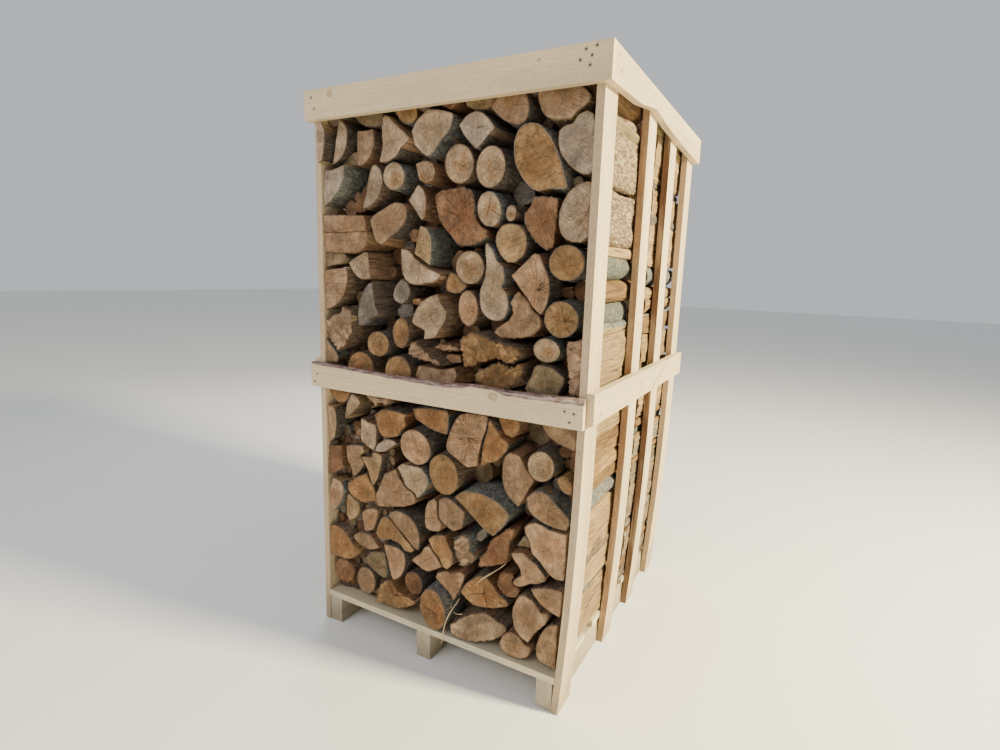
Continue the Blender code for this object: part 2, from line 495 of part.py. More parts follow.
def make_pallet(collection):
    """The three skids and the deck boards."""
    right = right_inner(0.0) - GAP
    left_end, middle_start, middle_end, right_start = SKID_EDGES
    skids = (("left", -INNER + GAP, left_end), ("middle", middle_start, middle_end),
             ("right", right_start, right))
    reach = HALF_DEPTH - SKID_SETBACK
    for word, low, high in skids:
        box(f"skid_{word}", (low, -reach, 0), (high, reach, SKID_HEIGHT), "board", collection)
    pitch = (DEPTH - DECK_BOARD_WIDTH) / (DECK_BOARDS - 1)
    deck_right = right_inner(SKID_HEIGHT) - GAP
    for number in range(DECK_BOARDS):
        start = -HALF_DEPTH + number * pitch
        box(f"deck_board_{number + 1}", (-INNER + GAP, start, SKID_HEIGHT + GAP),
            (deck_right, start + DECK_BOARD_WIDTH, DECK_TOP), "board", collection)


def full_outline(shape):
    """A log's end outline in metres, clockwise, from its corners or its round size."""
    if len(shape) == 4 and not isinstance(shape[0], tuple):
        x, z, half_width, half_height = (value / 1000 for value in shape)
        turns = [2 * math.pi * k / ROUND_SIDES for k in range(ROUND_SIDES)]
        return [(x + half_width * math.cos(a), z - half_height * math.sin(a)) for a in turns]
    outline = [(x / 1000, z / 1000) for x, z in shape]
    area = sum(a[0] * b[1] - b[0] * a[1] for a, b in zip(outline, outline[1:] + outline[:1]))
    return outline if area < 0 else outline[::-1]


def fewer_points(outline, tolerance):
    """The outline without the corners that stand out less than the tolerance."""
    points = [Vector(p) for p in outline]
    while len(points) > FEWEST_CORNERS:
        heights = []
        for k, point in enumerate(points):
            before = points[k - 1]
            after = points[(k + 1) % len(points)]
            chord = after - before
            height = abs(chord.x * (point.y - before.y) - chord.y * (point.x - before.x))
            heights.append(height / chord.length)
        least = min(range(len(points)), key=heights.__getitem__)
        if heights[least] > tolerance:
            break
        del points[least]
    return [tuple(p) for p in points]


def rear_shape(outline):
    """The outline upside down within the stack, kept inside the bowed side."""
    flipped = []
    for x, z in reversed(outline):
        height = REAR_FLIP - z
        if x > 0:
            x *= right_inner(height) / right_inner(z)
        flipped.append((x, height))
    return flipped


def grown(outline, amount):
    """The outline moved outwards by an amount, corner by corner."""
    points = [Vector(p) for p in outline]
    moved = []
    for k, point in enumerate(points):
        back = (point - points[k - 1]).normalized()
        ahead = (points[(k + 1) % len(points)] - point).normalized()
        out = Vector((-back.y, back.x)) + Vector((-ahead.y, ahead.x))
        out *= 1 / max(LEAST_CORNER, out.length_squared / 2)
        moved.append(tuple(point + out * amount))
    return moved


def log_span(number, setback, rear):
    """Where a log of a row begins and ends along the depth, its length varying a little."""
    if rear:
        setback = max(setback, REAR_LEAST_SETBACK)
    face = -LOG_FACE - setback / 1000
    length = ROW_LENGTH + LENGTH_VARIES * math.sin(number * LENGTH_STEP)
    return (face - length, face) if rear else (-face, -face + length)


def core(name, low, high, rear, collection):
    """The packed middle of a half row, set in behind the log ends."""
    levels = [low + (high - low) * k / CORE_LEVELS for k in range(CORE_LEVELS + 1)]
    right = [(right_inner(z) - CORE_SIDE_INSET, z) for z in levels]
    left = -INNER + CORE_SIDE_INSET
    outline = right + [(left, high), (left, low)]
    near = LOG_FACE + CORE_INSET
    far = LOG_FACE + ROW_LENGTH - CORE_BACK_INSET
    start, end = (-far, -near) if rear else (near, far)
    return flat_solid(name, outline, start, end, False, "bark", collection)


def join_with(target, others, operation, cutters):
    """Adds or cuts the others from the target with one Boolean modifier for them all."""
    group = bpy.data.collections.new(target.name + "_" + operation.lower())
    cutters.children.link(group)
    for other in others:
        for holder in list(other.users_collection):
            holder.objects.unlink(other)
        group.objects.link(other)
        other.hide_render = True
        other.display_type = "WIRE"
    modifier = target.modifiers.new(operation.title(), "BOOLEAN")
    modifier.operation = operation
    modifier.operand_type = "COLLECTION"
    modifier.collection = group
    modifier.solver = "EXACT"


def halves_crossed(outline):
    """The halves of a row that an outline reaches, the one that holds its middle first."""
    heights = [z for _, z in outline]
    low = min(heights)
    high = max(heights)
    first = "upper" if (low + high) / 2 > SPLIT_HEIGHT else "lower"
    if low > SPLIT_HEIGHT + POCKET_GAP or high < SPLIT_HEIGHT - POCKET_GAP:
        return [first]
    return [first, "lower" if first == "upper" else "upper"]


def make_firewood(collection, cutters):
    """The large logs one by one, and the small ones packed into half rows."""
    halves = {}
    for rear, word in ((False, "front"), (True, "rear")):
        for half, low, high in (("lower", STACK_BOTTOM, SPLIT_HEIGHT - GAP),
                                ("upper", SPLIT_HEIGHT, STACK_TOP)):
            name = f"packed_logs_{word}_{half}"
            halves[rear, half] = core(name, low, high, rear, collection)
    added = {key: [] for key in halves}
    removed = {key: [] for key in halves}
    for number, (kind, setback, shape) in LOGS.items():
        outline = full_outline(shape)
        for rear in (False, True):
            placed = rear_shape(outline) if rear else outline
            crossed = halves_crossed(placed)
            start, end = log_span(number, setback, rear)
            if number in OWN_LOGS and not rear:
                placed = fewer_points(placed, OUTLINE_TOLERANCE / 2)
                flat_solid(f"log_{number:03d}", placed, start, end, False, kind, collection)
                held_by = crossed
            else:
                placed = fewer_points(placed, OUTLINE_TOLERANCE)
                hidden = STUB_HIDDEN_END
                start, end = (start + hidden, end) if rear else (start, end - hidden)
                stub = flat_solid(f"stub_{number:03d}_{int(rear)}", placed, start, end, False, kind,
                                  cutters)
                added[rear, crossed[0]].append(stub)
                held_by = crossed[1:]
            for half in held_by:
                hole = flat_solid(f"pocket_{number:03d}_{int(rear)}_{half}", grown(placed, POCKET_GAP),
                                  start - POCKET_OVERRUN, end + POCKET_OVERRUN, False, kind, cutters)
                removed[rear, half].append(hole)
    for key, target in halves.items():
        join_with(target, added[key], "UNION", cutters)
        if removed[key]:
            join_with(target, removed[key], "DIFFERENCE", cutters)


def main():
    """Builds the crate and its firewood."""
    clear_scene()
    collection = new_collection("pallet_of_firewood")
    cutters = new_collection("cutters")
    cutters.hide_render = True
    make_pallet(collection)
    make_uprights(collection)
    make_rails(collection)
    make_firewood(collection, cutters)


main()
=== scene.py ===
import logging
import math
import random
from dataclasses import dataclass, field
from enum import Enum
from functools import reduce

import bpy
import numpy
from mathutils import Matrix, Vector, noise
from mathutils.geometry import delaunay_2d_cdt

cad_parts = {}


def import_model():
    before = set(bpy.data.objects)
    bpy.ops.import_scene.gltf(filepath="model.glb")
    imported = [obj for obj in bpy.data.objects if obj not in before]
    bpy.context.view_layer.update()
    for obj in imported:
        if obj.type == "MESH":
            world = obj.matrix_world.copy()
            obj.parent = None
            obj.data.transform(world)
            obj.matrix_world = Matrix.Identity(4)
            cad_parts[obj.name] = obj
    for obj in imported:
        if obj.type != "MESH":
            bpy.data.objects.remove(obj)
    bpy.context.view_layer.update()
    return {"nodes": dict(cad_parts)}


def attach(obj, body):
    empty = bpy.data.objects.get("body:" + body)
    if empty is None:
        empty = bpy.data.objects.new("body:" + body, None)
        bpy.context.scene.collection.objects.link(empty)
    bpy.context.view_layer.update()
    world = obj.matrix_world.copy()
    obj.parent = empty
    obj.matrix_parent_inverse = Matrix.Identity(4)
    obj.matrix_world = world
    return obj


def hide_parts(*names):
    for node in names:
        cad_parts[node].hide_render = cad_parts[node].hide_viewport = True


LOG = logging.getLogger("firewood")

# Sizes of the crate, in metres
HALF_WIDTH = 0.555
HALF_DEPTH = 0.609
INNER = 0.530
BOARD = 0.025
DECK_TOP = 0.135
BOW_HEIGHT = 1.0
BOW_AT_FOOT = 0.039
BOW_RUNS = 5
LOG_FACE = -0.589
ROW_LENGTH = 0.489
LENGTH_VARIES = 0.009
LENGTH_STEP = 2.3
REAR_FLIP = 2.162
REAR_LEAST_SETBACK = -16
SPLIT_HEIGHT = 1.052
STACK_FOOT = 0.13
STACK_HEIGHT = 1.90

# What a log's mesh carries, how its outline is read, and the limits of its shape
VECTORS = ("wood", "traits", "grit", "edge", "marks")
TINTS = ("end_tint", "heart_tint", "split_tint", "bark_tint", "furrow_tint")
ROUND_POINTS = 20
SHARP_TURN = math.radians(37)
CURVED_TURN = math.radians(5)
SOFT_SHARP_ANGLE = math.radians(42)
MOST_RING_RADIUS = 0.28
MOST_SWELL = 0.0075
SIDE_LOGS = 0.47
OUTER_LOGS = 0.38
SIDE_STICKS = 0.40

Colour = tuple[float, float, float]
Point = tuple[float, float]
Place = tuple[float, float, float]
Socket = bpy.types.NodeSocket


class Row(Enum):
    """The two rows of firewood in the crate."""

    FRONT = "front"
    REAR = "rear"


class Kind(Enum):
    """The sorts of firewood, told apart by the look of their ends."""

    ROUND = "round"
    PALE = "pale"
    SILVER = "silver"
    BIRCH = "birch"
    TAN = "tan"
    PEACH = "peach"
    AMBER = "amber"
    ORANGE = "orange"
    RED = "red"
    BROWN = "brown"
    OLIVE = "olive"
    GREY = "grey"
    FIBRE = "fibre"
    SHAGGY = "shaggy"


class Bark(Enum):
    """The sorts of bark: colour of its ridges, of its furrows, and how much lichen lies on it."""

    BROWN = ((0.30, 0.215, 0.145), (0.10, 0.065, 0.042), 0.25)
    DARK = ((0.20, 0.165, 0.135), (0.065, 0.05, 0.04), 0.35)
    SLATE = ((0.27, 0.27, 0.26), (0.09, 0.085, 0.078), 0.5)
    LICHEN = ((0.31, 0.32, 0.29), (0.11, 0.105, 0.09), 0.7)
    RUST = ((0.36, 0.21, 0.12), (0.12, 0.065, 0.035), 0.1)
    CHALK = ((0.50, 0.47, 0.43), (0.18, 0.15, 0.13), 0.6)
    SMOOTH = ((0.165, 0.17, 0.15), (0.085, 0.085, 0.072), 0.45)
    BEIGE = ((0.45, 0.335, 0.22), (0.085, 0.052, 0.03), 0.05)


@dataclass(frozen=True)
class EndLook:
    """A kind of firewood's colours, and how torn its sawn end is."""

    end: Colour
    heart: Colour
    split: Colour
    ragged: float


PALETTE = {
    Kind.ROUND: EndLook((0.348, 0.236, 0.141), (0.256, 0.148, 0.074), (0.475, 0.304, 0.162), 0.0),
    Kind.PALE: EndLook((0.348, 0.248, 0.163), (0.277, 0.184, 0.108), (0.494, 0.342, 0.198), 0.12),
    Kind.SILVER: EndLook((0.348, 0.270, 0.203), (0.277, 0.204, 0.138), (0.475, 0.361, 0.234), 0.1),
    Kind.BIRCH: EndLook((0.330, 0.215, 0.110), (0.262, 0.152, 0.070), (0.52, 0.36, 0.20), 0.1),
    Kind.TAN: EndLook((0.278, 0.174, 0.101), (0.213, 0.122, 0.064), (0.418, 0.266, 0.144), 0.1),
    Kind.PEACH: EndLook((0.348, 0.214, 0.124), (0.277, 0.153, 0.079), (0.494, 0.304, 0.162), 0.12),
    Kind.AMBER: EndLook((0.285, 0.168, 0.076), (0.215, 0.112, 0.046), (0.38, 0.225, 0.105), 0.15),
    Kind.ORANGE: EndLook((0.275, 0.150, 0.066), (0.205, 0.096, 0.038), (0.38, 0.205, 0.09), 0.2),
    Kind.RED: EndLook((0.235, 0.122, 0.062), (0.165, 0.074, 0.034), (0.32, 0.16, 0.08), 0.35),
    Kind.BROWN: EndLook((0.174, 0.090, 0.045), (0.117, 0.056, 0.025), (0.247, 0.133, 0.063), 0.35),
    Kind.OLIVE: EndLook((0.209, 0.152, 0.084), (0.149, 0.102, 0.054), (0.304, 0.218, 0.117), 0.2),
    Kind.GREY: EndLook((0.209, 0.174, 0.146), (0.149, 0.117, 0.089), (0.285, 0.237, 0.180), 0.25),
    Kind.FIBRE: EndLook((0.336, 0.214, 0.135), (0.256, 0.143, 0.079), (0.475, 0.304, 0.171), 0.75),
    Kind.SHAGGY: EndLook((0.348, 0.231, 0.146), (0.267, 0.163, 0.094), (0.513, 0.342, 0.198), 0.95),
}

# Each log end as traced: its kind, its setback, then its corners' x and z in millimetres.
# A row of four numbers is an oval: its centre's x and z, and its half width and half height.
LOGS = {
    1: ("pale", -38, -529, 1968, -508, 1986, -489, 1958, -492, 1905, -506, 1852, -529, 1843),
    2: ("pale", 0, -456, 1999, -442, 1997, -420, 1968, -417, 1932, -428, 1893, -456, 1860, -496, 1840,
        -479, 1902),
    3: ("olive", 30, -424, 1886, -392, 1893, -379, 1872, -398, 1846, -440, 1836, -476, 1840),
    4: ("tan", 0, -373, 1954, -340, 1950, -298, 1954, -292, 1905, -306, 1860, -345, 1832, -369, 1834,
        -370, 1880),
    5: ("pale", -6, -246, 1986, -228, 1990, -180, 1949, -127, 1908, -165, 1880, -185, 1855, -235, 1835,
        -269, 1837, -252, 1888, -252, 1955),
    6: ("olive", 12, -396, 2000, -388, 2024, -258, 2024, -256, 1962, -302, 1960, -348, 1968),
    7: ("amber", 10, -206, 2022, -118, 2022, -112, 1975, -130, 1957, -158, 1955, -185, 1972, -206, 1998),
    8: ("pale", 0, -125, 1930, -105, 1960, -62, 1994, -20, 1990, 34, 1976, 36, 1955, 22, 1920, -5, 1895,
        -35, 1858, -60, 1842, -78, 1852, -112, 1882, -116, 1905),
    9: ("silver", -14, -529, 1826, -480, 1824, -448, 1832, -420, 1840, -419, 1795, -436, 1760, -465, 1730,
        -500, 1704, -529, 1695),
    10: ("brown", 26, -422, 1688, -388, 1735, -356, 1772, -326, 1790, -331, 1740, -350, 1684, -386, 1668),
    11: ("pale", -4, -306, 1832, -288, 1835, -262, 1815, -250, 1782, -253, 1748, -272, 1714, -308, 1688,
        -344, 1680, -327, 1740, -320, 1792),
    12: ("round", 0, -204, 1789, 46, 48),
    13: ("round", 4, -115, 1826, -74, 1835, -44, 1826, -31, 1795, -42, 1768, -70, 1757, -97, 1772),
    14: ("pale", 2, -103, 1760, -76, 1738, -64, 1700, -68, 1646, -82, 1637, -144, 1708),
    15: ("tan", 0, -316, 1643, -297, 1661, -250, 1684, -200, 1703, -163, 1699, -145, 1677, -152, 1637,
        -185, 1602, -225, 1579, -262, 1553, -285, 1566, -302, 1600),
    16: ("peach", -16, -529, 1664, -330, 1660, -318, 1642, -318, 1602, -529, 1599),
    17: ("peach", -12, -529, 1601, -318, 1604, -314, 1566, -332, 1542, -360, 1528, -420, 1524, -529, 1527),
    19: ("olive", -6, -529, 1531, -442, 1527, -418, 1504, -428, 1488, -529, 1472),
    20: ("peach", -14, -529, 1461, -470, 1468, -413, 1474, -411, 1440, -420, 1402, -446, 1356, -485, 1324,
        -529, 1308),
    21: ("pale", -4, -424, 1492, -385, 1512, -340, 1533, -323, 1528, -303, 1436, -345, 1430, -376, 1440,
        -402, 1462),
    22: ("pale", -2, -176, 1546, -135, 1537, -112, 1513, -50, 1476, -2, 1462, 2, 1448, -25, 1430, -58, 1425,
        -102, 1418, -142, 1430, -166, 1462, -172, 1500),
    23: ("birch", 0, -91, 1622, -62, 1615, -46, 1592, -39, 1555, -44, 1486, -114, 1526, -100, 1582),
    24: ("brown", 24, -156, 1598, -140, 1612, -106, 1612, -112, 1572, -128, 1563, -148, 1572),
    25: ("grey", 0, -380, 1256, -382, 1310, -372, 1345, -350, 1384, -322, 1416, -303, 1426, -299, 1391,
        -291, 1340, -276, 1306, -322, 1286, -352, 1260),
    26: ("grey", 8, -216, 1390, -202, 1418, -184, 1437, -160, 1436, -140, 1420, -132, 1395, -148, 1362,
        -175, 1347, -205, 1357, -219, 1374),
    27: ("orange", 30, -142, 1371, -112, 1374, -98, 1360, -122, 1346, -146, 1350),
    28: ("shaggy", -16, -529, 1236, -529, 1268, -500, 1277, -486, 1294, -452, 1304, -450, 1324, -432, 1328,
        -402, 1316, -391, 1296, -386, 1245, -412, 1196, -450, 1160, -472, 1158, -529, 1214),
    29: ("tan", -12, -529, 1203, -518, 1190, -484, 1154, -470, 1132, -476, 1108, -529, 1104),
    30: ("orange", 6, -372, 1088, 66, 72),
    31: ("amber", 0, -280, 1197, 57, 48),
    32: ("orange", 0, -173, 1247, 39, 56),
    33: ("amber", 4, -190, 1100, 60, 61),
    34: ("shaggy", -4, -150, 1180, -140, 1200, -118, 1226, -98, 1215, -72, 1194, -40, 1181, 8, 1158, 26, 1146,
        0, 1146, -60, 1157, -112, 1163, -134, 1168),
    35: ("tan", 6, -110, 1100, -97, 1135, 0, 1131, 55, 1141, 68, 1115, 55, 1078, -20, 1066, -90, 1072),
    36: ("pale", -4, -123, 1285, -120, 1303, -100, 1342, -75, 1368, -37, 1387, -8, 1394, 5, 1362, 32, 1332,
        24, 1300, 0, 1268, -20, 1240, -68, 1232, -64, 1262, -85, 1268, -104, 1276),
    37: ("amber", 16, 10, 1424, 24, 1470, 54, 1462, 72, 1440, 98, 1424, 76, 1402, 45, 1396, 16, 1402),
    38: ("round", 0, 115, 1485, 56, 56),
    39: ("pale", -4, 182, 1568, 203, 1548, 222, 1510, 248, 1490, 252, 1450, 240, 1428, 264, 1402, 266, 1356,
        248, 1326, 222, 1314, 188, 1321, 161, 1346, 154, 1380, 157, 1415, 174, 1452, 180, 1490, 176, 1548),
    40: ("birch", 0, 206, 1568, 212, 1596, 232, 1620, 262, 1626, 296, 1618, 318, 1592, 323, 1560, 312, 1526,
        282, 1502, 252, 1503, 226, 1527),
    41: ("red", 4, 333, 1703, 378, 1703, 420, 1698, 418, 1660, 412, 1590, 408, 1552, 383, 1541, 352, 1562,
        327, 1590, 308, 1625, 304, 1655, 325, 1670),
    42: ("pale", -4, 503, 1740, 462, 1721, 438, 1690, 425, 1650, 428, 1610, 441, 1584, 468, 1567, 503, 1564,
        528, 1584, 528, 1736),
    43: ("red", 0, -35, 1722, -10, 1736, 55, 1743, 75, 1744, 117, 1731, 127, 1700, 131, 1650, 148, 1622,
        182, 1602, 186, 1582, 160, 1567, 110, 1554, 66, 1560, 25, 1598, -16, 1645, -31, 1690),
    44: ("round", 0, 137, 1690, 152, 1716, 176, 1727, 200, 1722, 222, 1695, 231, 1655, 222, 1628, 200, 1613,
        172, 1616, 150, 1634, 137, 1660),
    45: ("round", 8, 258, 1656, 22, 28),
    46: ("round", 0, 184, 1798, 56, 66),
    47: ("round", 0, 66, 1814, 55, 62),
    48: ("silver", 0, 62, 1932, 92, 1961, 118, 1970, 150, 1963, 198, 1916, 178, 1896, 152, 1868, 131, 1852,
        106, 1874, 80, 1902),
    49: ("olive", 16, 70, 2022, 190, 2022, 186, 1994, 165, 1978, 120, 1974, 82, 1988),
    50: ("tan", 0, 176, 1972, 196, 1998, 214, 2024, 286, 2024, 306, 1994, 313, 1965, 310, 1935, 296, 1918,
        276, 1911, 230, 1928, 203, 1948),
    51: ("tan", 4, 331, 1996, 349, 1949, 372, 1925, 400, 1916, 446, 1914, 468, 1934, 500, 1953, 507, 1970,
        497, 1986, 478, 2002, 440, 2024, 350, 2024),
    52: ("silver", 0, 500, 1934, 470, 1926, 453, 1903, 428, 1899, 410, 1886, 408, 1855, 422, 1817, 449, 1785,
        485, 1761, 512, 1755, 528, 1768, 528, 1890, 520, 1922),
    53: ("amber", -6, 308, 1915, 349, 1910, 378, 1884, 398, 1856, 424, 1798, 448, 1725, 425, 1721, 390, 1724,
        353, 1716, 330, 1727, 300, 1757, 278, 1798, 270, 1836, 275, 1878, 288, 1902),
    54: ("peach", -4, 348, 1535, 368, 1532, 384, 1503, 400, 1470, 408, 1435, 404, 1392, 391, 1356, 377, 1344,
        352, 1366, 331, 1394, 300, 1430, 273, 1463, 305, 1492, 328, 1514),
    55: ("tan", 6, 292, 1412, 302, 1414, 326, 1388, 350, 1358, 376, 1334, 374, 1304, 350, 1274, 300, 1264,
        242, 1262, 207, 1278, 232, 1302, 262, 1318, 278, 1345, 272, 1388),
    56: ("amber", -4, 459, 1506, 58, 55),
    57: ("amber", -4, 450, 1336, 60, 58),
    58: ("round", 0, 405, 1236, 49, 40),
    59: ("fibre", 0, 469, 1264, 503, 1275, 528, 1286, 528, 1100, 490, 1100, 484, 1135, 477, 1190),
    60: ("olive", 0, 379, 1190, 430, 1184, 472, 1156, 466, 1130, 450, 1100, 440, 1078, 350, 1078, 334, 1104,
        344, 1127, 356, 1150, 366, 1180),
    61: ("amber", -6, 86, 1245, 108, 1264, 160, 1272, 205, 1253, 265, 1244, 316, 1229, 326, 1214, 308, 1196,
        285, 1180, 240, 1191, 218, 1190, 155, 1170, 98, 1145, 87, 1180, 83, 1222),
    62: ("amber", 2, 128, 1124, 160, 1150, 215, 1176, 240, 1180, 285, 1168, 308, 1184, 324, 1182, 328, 1150,
        318, 1124, 290, 1105, 240, 1084, 172, 1084, 150, 1110),
    63: ("fibre", 16, -14, 1222, 30, 1220, 64, 1212, 62, 1200, -8, 1196, -38, 1206),
    64: ("red", 20, 16, 1188, 74, 1186, 80, 1160, 36, 1156, 6, 1168),
    65: ("orange", 0, -472, 1012, 56, 66),
    66: ("pale", 0, -411, 994, -380, 986, -363, 960, -385, 936, -430, 898, -454, 880, -460, 890, -446, 940,
        -428, 970),
    67: ("shaggy", 6, -360, 1010, -226, 1006, -222, 978, -248, 962, -284, 972, -316, 942, -322, 950,
        -306, 972, -345, 980),
    68: ("orange", -4, -298, 924, -280, 939, -250, 954, -188, 955, -134, 950, -152, 930, -144, 908, -166, 884,
        -184, 858, -205, 850, -248, 841, -266, 848, -283, 876, -287, 905),
    69: ("pale", 0, -373, 900, -350, 897, -335, 889, -293, 885, -289, 850, -291, 800, -304, 781, -318, 785,
        -350, 800, -370, 813, -369, 860),
    70: ("silver", 2, -298, 779, -286, 811, -243, 837, -205, 834, -193, 825, -225, 800, -252, 783, -285, 778),
    71: ("peach", 0, -105, 829, 73, 69),
    72: ("amber", 0, 22, 749, 68, 78),
    73: ("peach", -14, -529, 934, -494, 931, -481, 912, -480, 860, -493, 802, -524, 776, -529, 774),
    74: ("brown", -14, -529, 766, -500, 770, -458, 778, -456, 706, -441, 690, -476, 665, -529, 643),
    75: ("tan", 2, -451, 774, -403, 788, -357, 793, -347, 766, -376, 746, -352, 714, -390, 667, -420, 645,
        -433, 690, -449, 715),
    76: ("birch", -2, -372, 742, -314, 751, -309, 774, -257, 772, -258, 745, -268, 705, -282, 667, -306, 637,
        -320, 656, -336, 696, -349, 714),
    77: ("orange", 0, -438, 622, -415, 638, -385, 661, -344, 680, -324, 650, -307, 631, -298, 600, -297, 575,
        -330, 562, -358, 553, -410, 566, -436, 590),
    78: ("tan", -2, -250, 699, -206, 722, -193, 728, -180, 699, -150, 666, -110, 645, -101, 625, -104, 606,
        -165, 580, -215, 570, -262, 559, -284, 559, -294, 590, -290, 610, -264, 660),
    79: ("pale", 0, -187, 738, -164, 756, -75, 754, -51, 728, -43, 698, -63, 662, -95, 628, -106, 650,
        -145, 667, -163, 697),
    80: ("peach", -4, 92, 985, 137, 995, 200, 993, 195, 945, 179, 900, 170, 850, 168, 811, 129, 799, 92, 818,
        50, 843, 38, 862, 48, 900, 61, 942, 79, 974),
    81: ("orange", -2, 206, 988, 222, 974, 240, 950, 257, 928, 284, 912, 282, 890, 257, 856, 240, 840,
        200, 824, 179, 808, 180, 858, 188, 906, 202, 951),
    82: ("orange", 14, 226, 1004, 314, 1000, 318, 970, 303, 938, 289, 928, 262, 932, 245, 956),
    83: ("tan", 0, 400, 1000, 406, 984, 428, 958, 462, 940, 505, 928, 520, 924, 522, 1040, 425, 1040),
    84: ("round", 0, 404, 855, 50, 52),
    85: ("tan", -2, 272, 866, 290, 886, 326, 878, 350, 836, 382, 800, 349, 736, 328, 696, 291, 728, 271, 766,
        264, 815),
    86: ("amber", 0, 462, 824, 478, 839, 496, 839, 518, 812, 518, 780, 490, 783, 465, 806),
    87: ("brown", 36, 492, 915, 520, 915, 520, 835, 502, 846, 488, 862),
    88: ("tan", -4, 361, 742, 383, 767, 413, 777, 440, 766, 466, 741, 500, 712, 514, 696, 512, 670, 502, 652,
        447, 657, 402, 673, 372, 698),
    89: ("amber", 0, 62, 670, 85, 691, 100, 700, 137, 710, 190, 711, 242, 700, 287, 678, 300, 660, 279, 618,
        240, 571, 200, 586, 144, 622, 126, 633, 92, 652),
    90: ("tan", 0, 0, 648, 28, 663, 58, 662, 92, 644, 120, 628, 117, 600, 110, 565, 70, 543, 25, 562, 3, 580,
        -1, 615),
    91: ("peach", 4, -62, 600, -50, 630, -22, 646, -8, 638, -6, 600, -2, 576, 17, 560, 16, 532, 0, 522,
        -37, 516, -58, 521, -64, 548),
    92: ("peach", -14, -506, 636, -462, 627, -448, 600, -454, 560, -477, 522, -506, 489, -529, 474,
        -529, 570),
    93: ("birch", 0, -446, 570, -433, 578, -411, 561, -378, 550, -374, 520, -382, 500, -404, 474, -437, 456,
        -457, 478, -451, 527),
    94: ("peach", -2, -368, 512, -349, 529, -302, 548, -277, 545, -282, 515, -302, 464, -316, 447, -347, 432,
        -360, 435, -360, 482),
    95: ("tan", -2, -227, 531, -222, 551, -187, 563, -148, 558, -111, 537, -87, 497, -79, 460, -85, 425,
        -101, 429, -167, 482),
    96: ("amber", 0, -302, 437, -290, 471, -269, 511, -243, 526, -232, 526, -171, 476, -105, 422, -117, 407,
        -152, 405, -176, 427, -225, 432, -262, 416, -290, 420),
    97: ("orange", -14, -529, 424, -500, 430, -467, 425, -428, 398, -410, 374, -366, 352, -377, 331,
        -411, 304, -460, 293, -529, 298),
    98: ("tan", 0, -421, 396, -396, 416, -362, 426, -329, 428, -306, 410, -278, 389, -284, 376, -328, 363,
        -373, 368, -403, 380),
    99: ("peach", -2, -262, 403, -187, 410, -152, 396, -142, 366, -151, 322, -169, 292, -202, 268, -216, 285,
        -230, 321, -248, 366),
    100: ("olive", 0, -354, 315, -342, 333, -320, 357, -256, 367, -244, 329, -237, 285, -241, 266, -255, 261,
        -300, 275, -337, 297),
    101: ("red", 0, -468, 230, 53, 54),
    102: ("tan", 0, -348, 222, 46, 60),
    103: ("brown", 4, -112, 280, 45, 48),
    104: ("amber", -4, -284, 202, -269, 233, -240, 260, -214, 260, -194, 228, -150, 218, -86, 216, -101, 196,
        -138, 172, -200, 153, -262, 150, -300, 152, -290, 175),
    105: ("orange", -30, 2, 226, 62, 84),
    106: ("pale", -6, 76, 152, 70, 180, 103, 210, 148, 243, 190, 263, 215, 270, 242, 257, 294, 238, 303, 228,
        270, 188, 222, 159, 160, 140, 110, 138),
    107: ("tan", -4, 274, 172, 288, 209, 317, 234, 350, 227, 376, 205, 400, 203, 397, 176, 383, 156, 352, 141,
        315, 138, 286, 147),
    108: ("tan", 0, 416, 210, 430, 262, 453, 299, 473, 313, 493, 319, 493, 150, 428, 158, 417, 178),
    109: ("tan", -2, 322, 310, 328, 347, 346, 380, 362, 388, 398, 375, 430, 343, 459, 346, 453, 310, 426, 276,
        404, 248, 388, 215, 361, 224, 329, 258),
    110: ("tan", 0, 386, 418, 405, 426, 450, 439, 503, 443, 501, 346, 466, 354, 430, 372, 404, 393),
    111: ("peach", -2, 309, 529, 353, 544, 384, 529, 410, 514, 442, 478, 441, 460, 410, 439, 384, 432,
        354, 411, 330, 405, 315, 415, 324, 434, 348, 455, 346, 474, 335, 490, 318, 508),
    112: ("peach", 0, 355, 636, 376, 655, 402, 662, 447, 648, 508, 644, 506, 476, 484, 475, 450, 485,
        412, 524, 385, 547, 377, 583, 359, 612),
    113: ("red", 0, 225, 549, 262, 584, 290, 614, 318, 616, 316, 590, 300, 560, 298, 520, 292, 480, 250, 464,
        205, 443, 178, 442, 182, 470, 207, 501),
    114: ("brown", 6, 252, 400, 262, 434, 286, 446, 312, 446, 320, 436, 311, 416, 326, 402, 343, 399,
        342, 378, 320, 359, 290, 355, 264, 368),
    115: ("orange", -2, 110, 325, 131, 361, 165, 394, 192, 410, 218, 409, 240, 382, 264, 357, 288, 346,
        304, 327, 297, 314, 242, 294, 174, 282, 144, 294),
    116: ("peach", 0, -12, 338, 3, 361, 36, 380, 62, 376, 104, 394, 122, 387, 120, 366, 106, 328, 90, 290,
        76, 270, 56, 294, 24, 316),
    117: ("shaggy", 0, 73, 489, 78, 519, 103, 536, 129, 535, 143, 519, 150, 482, 168, 471, 159, 449, 137, 434,
        113, 412, 98, 415, 85, 440, 76, 462),
    118: ("amber", 0, -44, 484, -20, 503, 0, 511, 28, 515, 50, 480, 69, 452, 71, 415, 48, 388, 30, 392,
        6, 427, -18, 444, -35, 466),
    119: ("peach", -2, -120, 378, -96, 402, -74, 418, -60, 446, -38, 456, -19, 438, 3, 420, 26, 391, 2, 376,
        -20, 362, -45, 354, -78, 361),
    120: ("grey", 30, 146, 520, 152, 548, 176, 571, 194, 566, 190, 540, 168, 516),
    121: ("olive", 16, 320, 548, 340, 586, 352, 596, 368, 578, 372, 550, 352, 552),
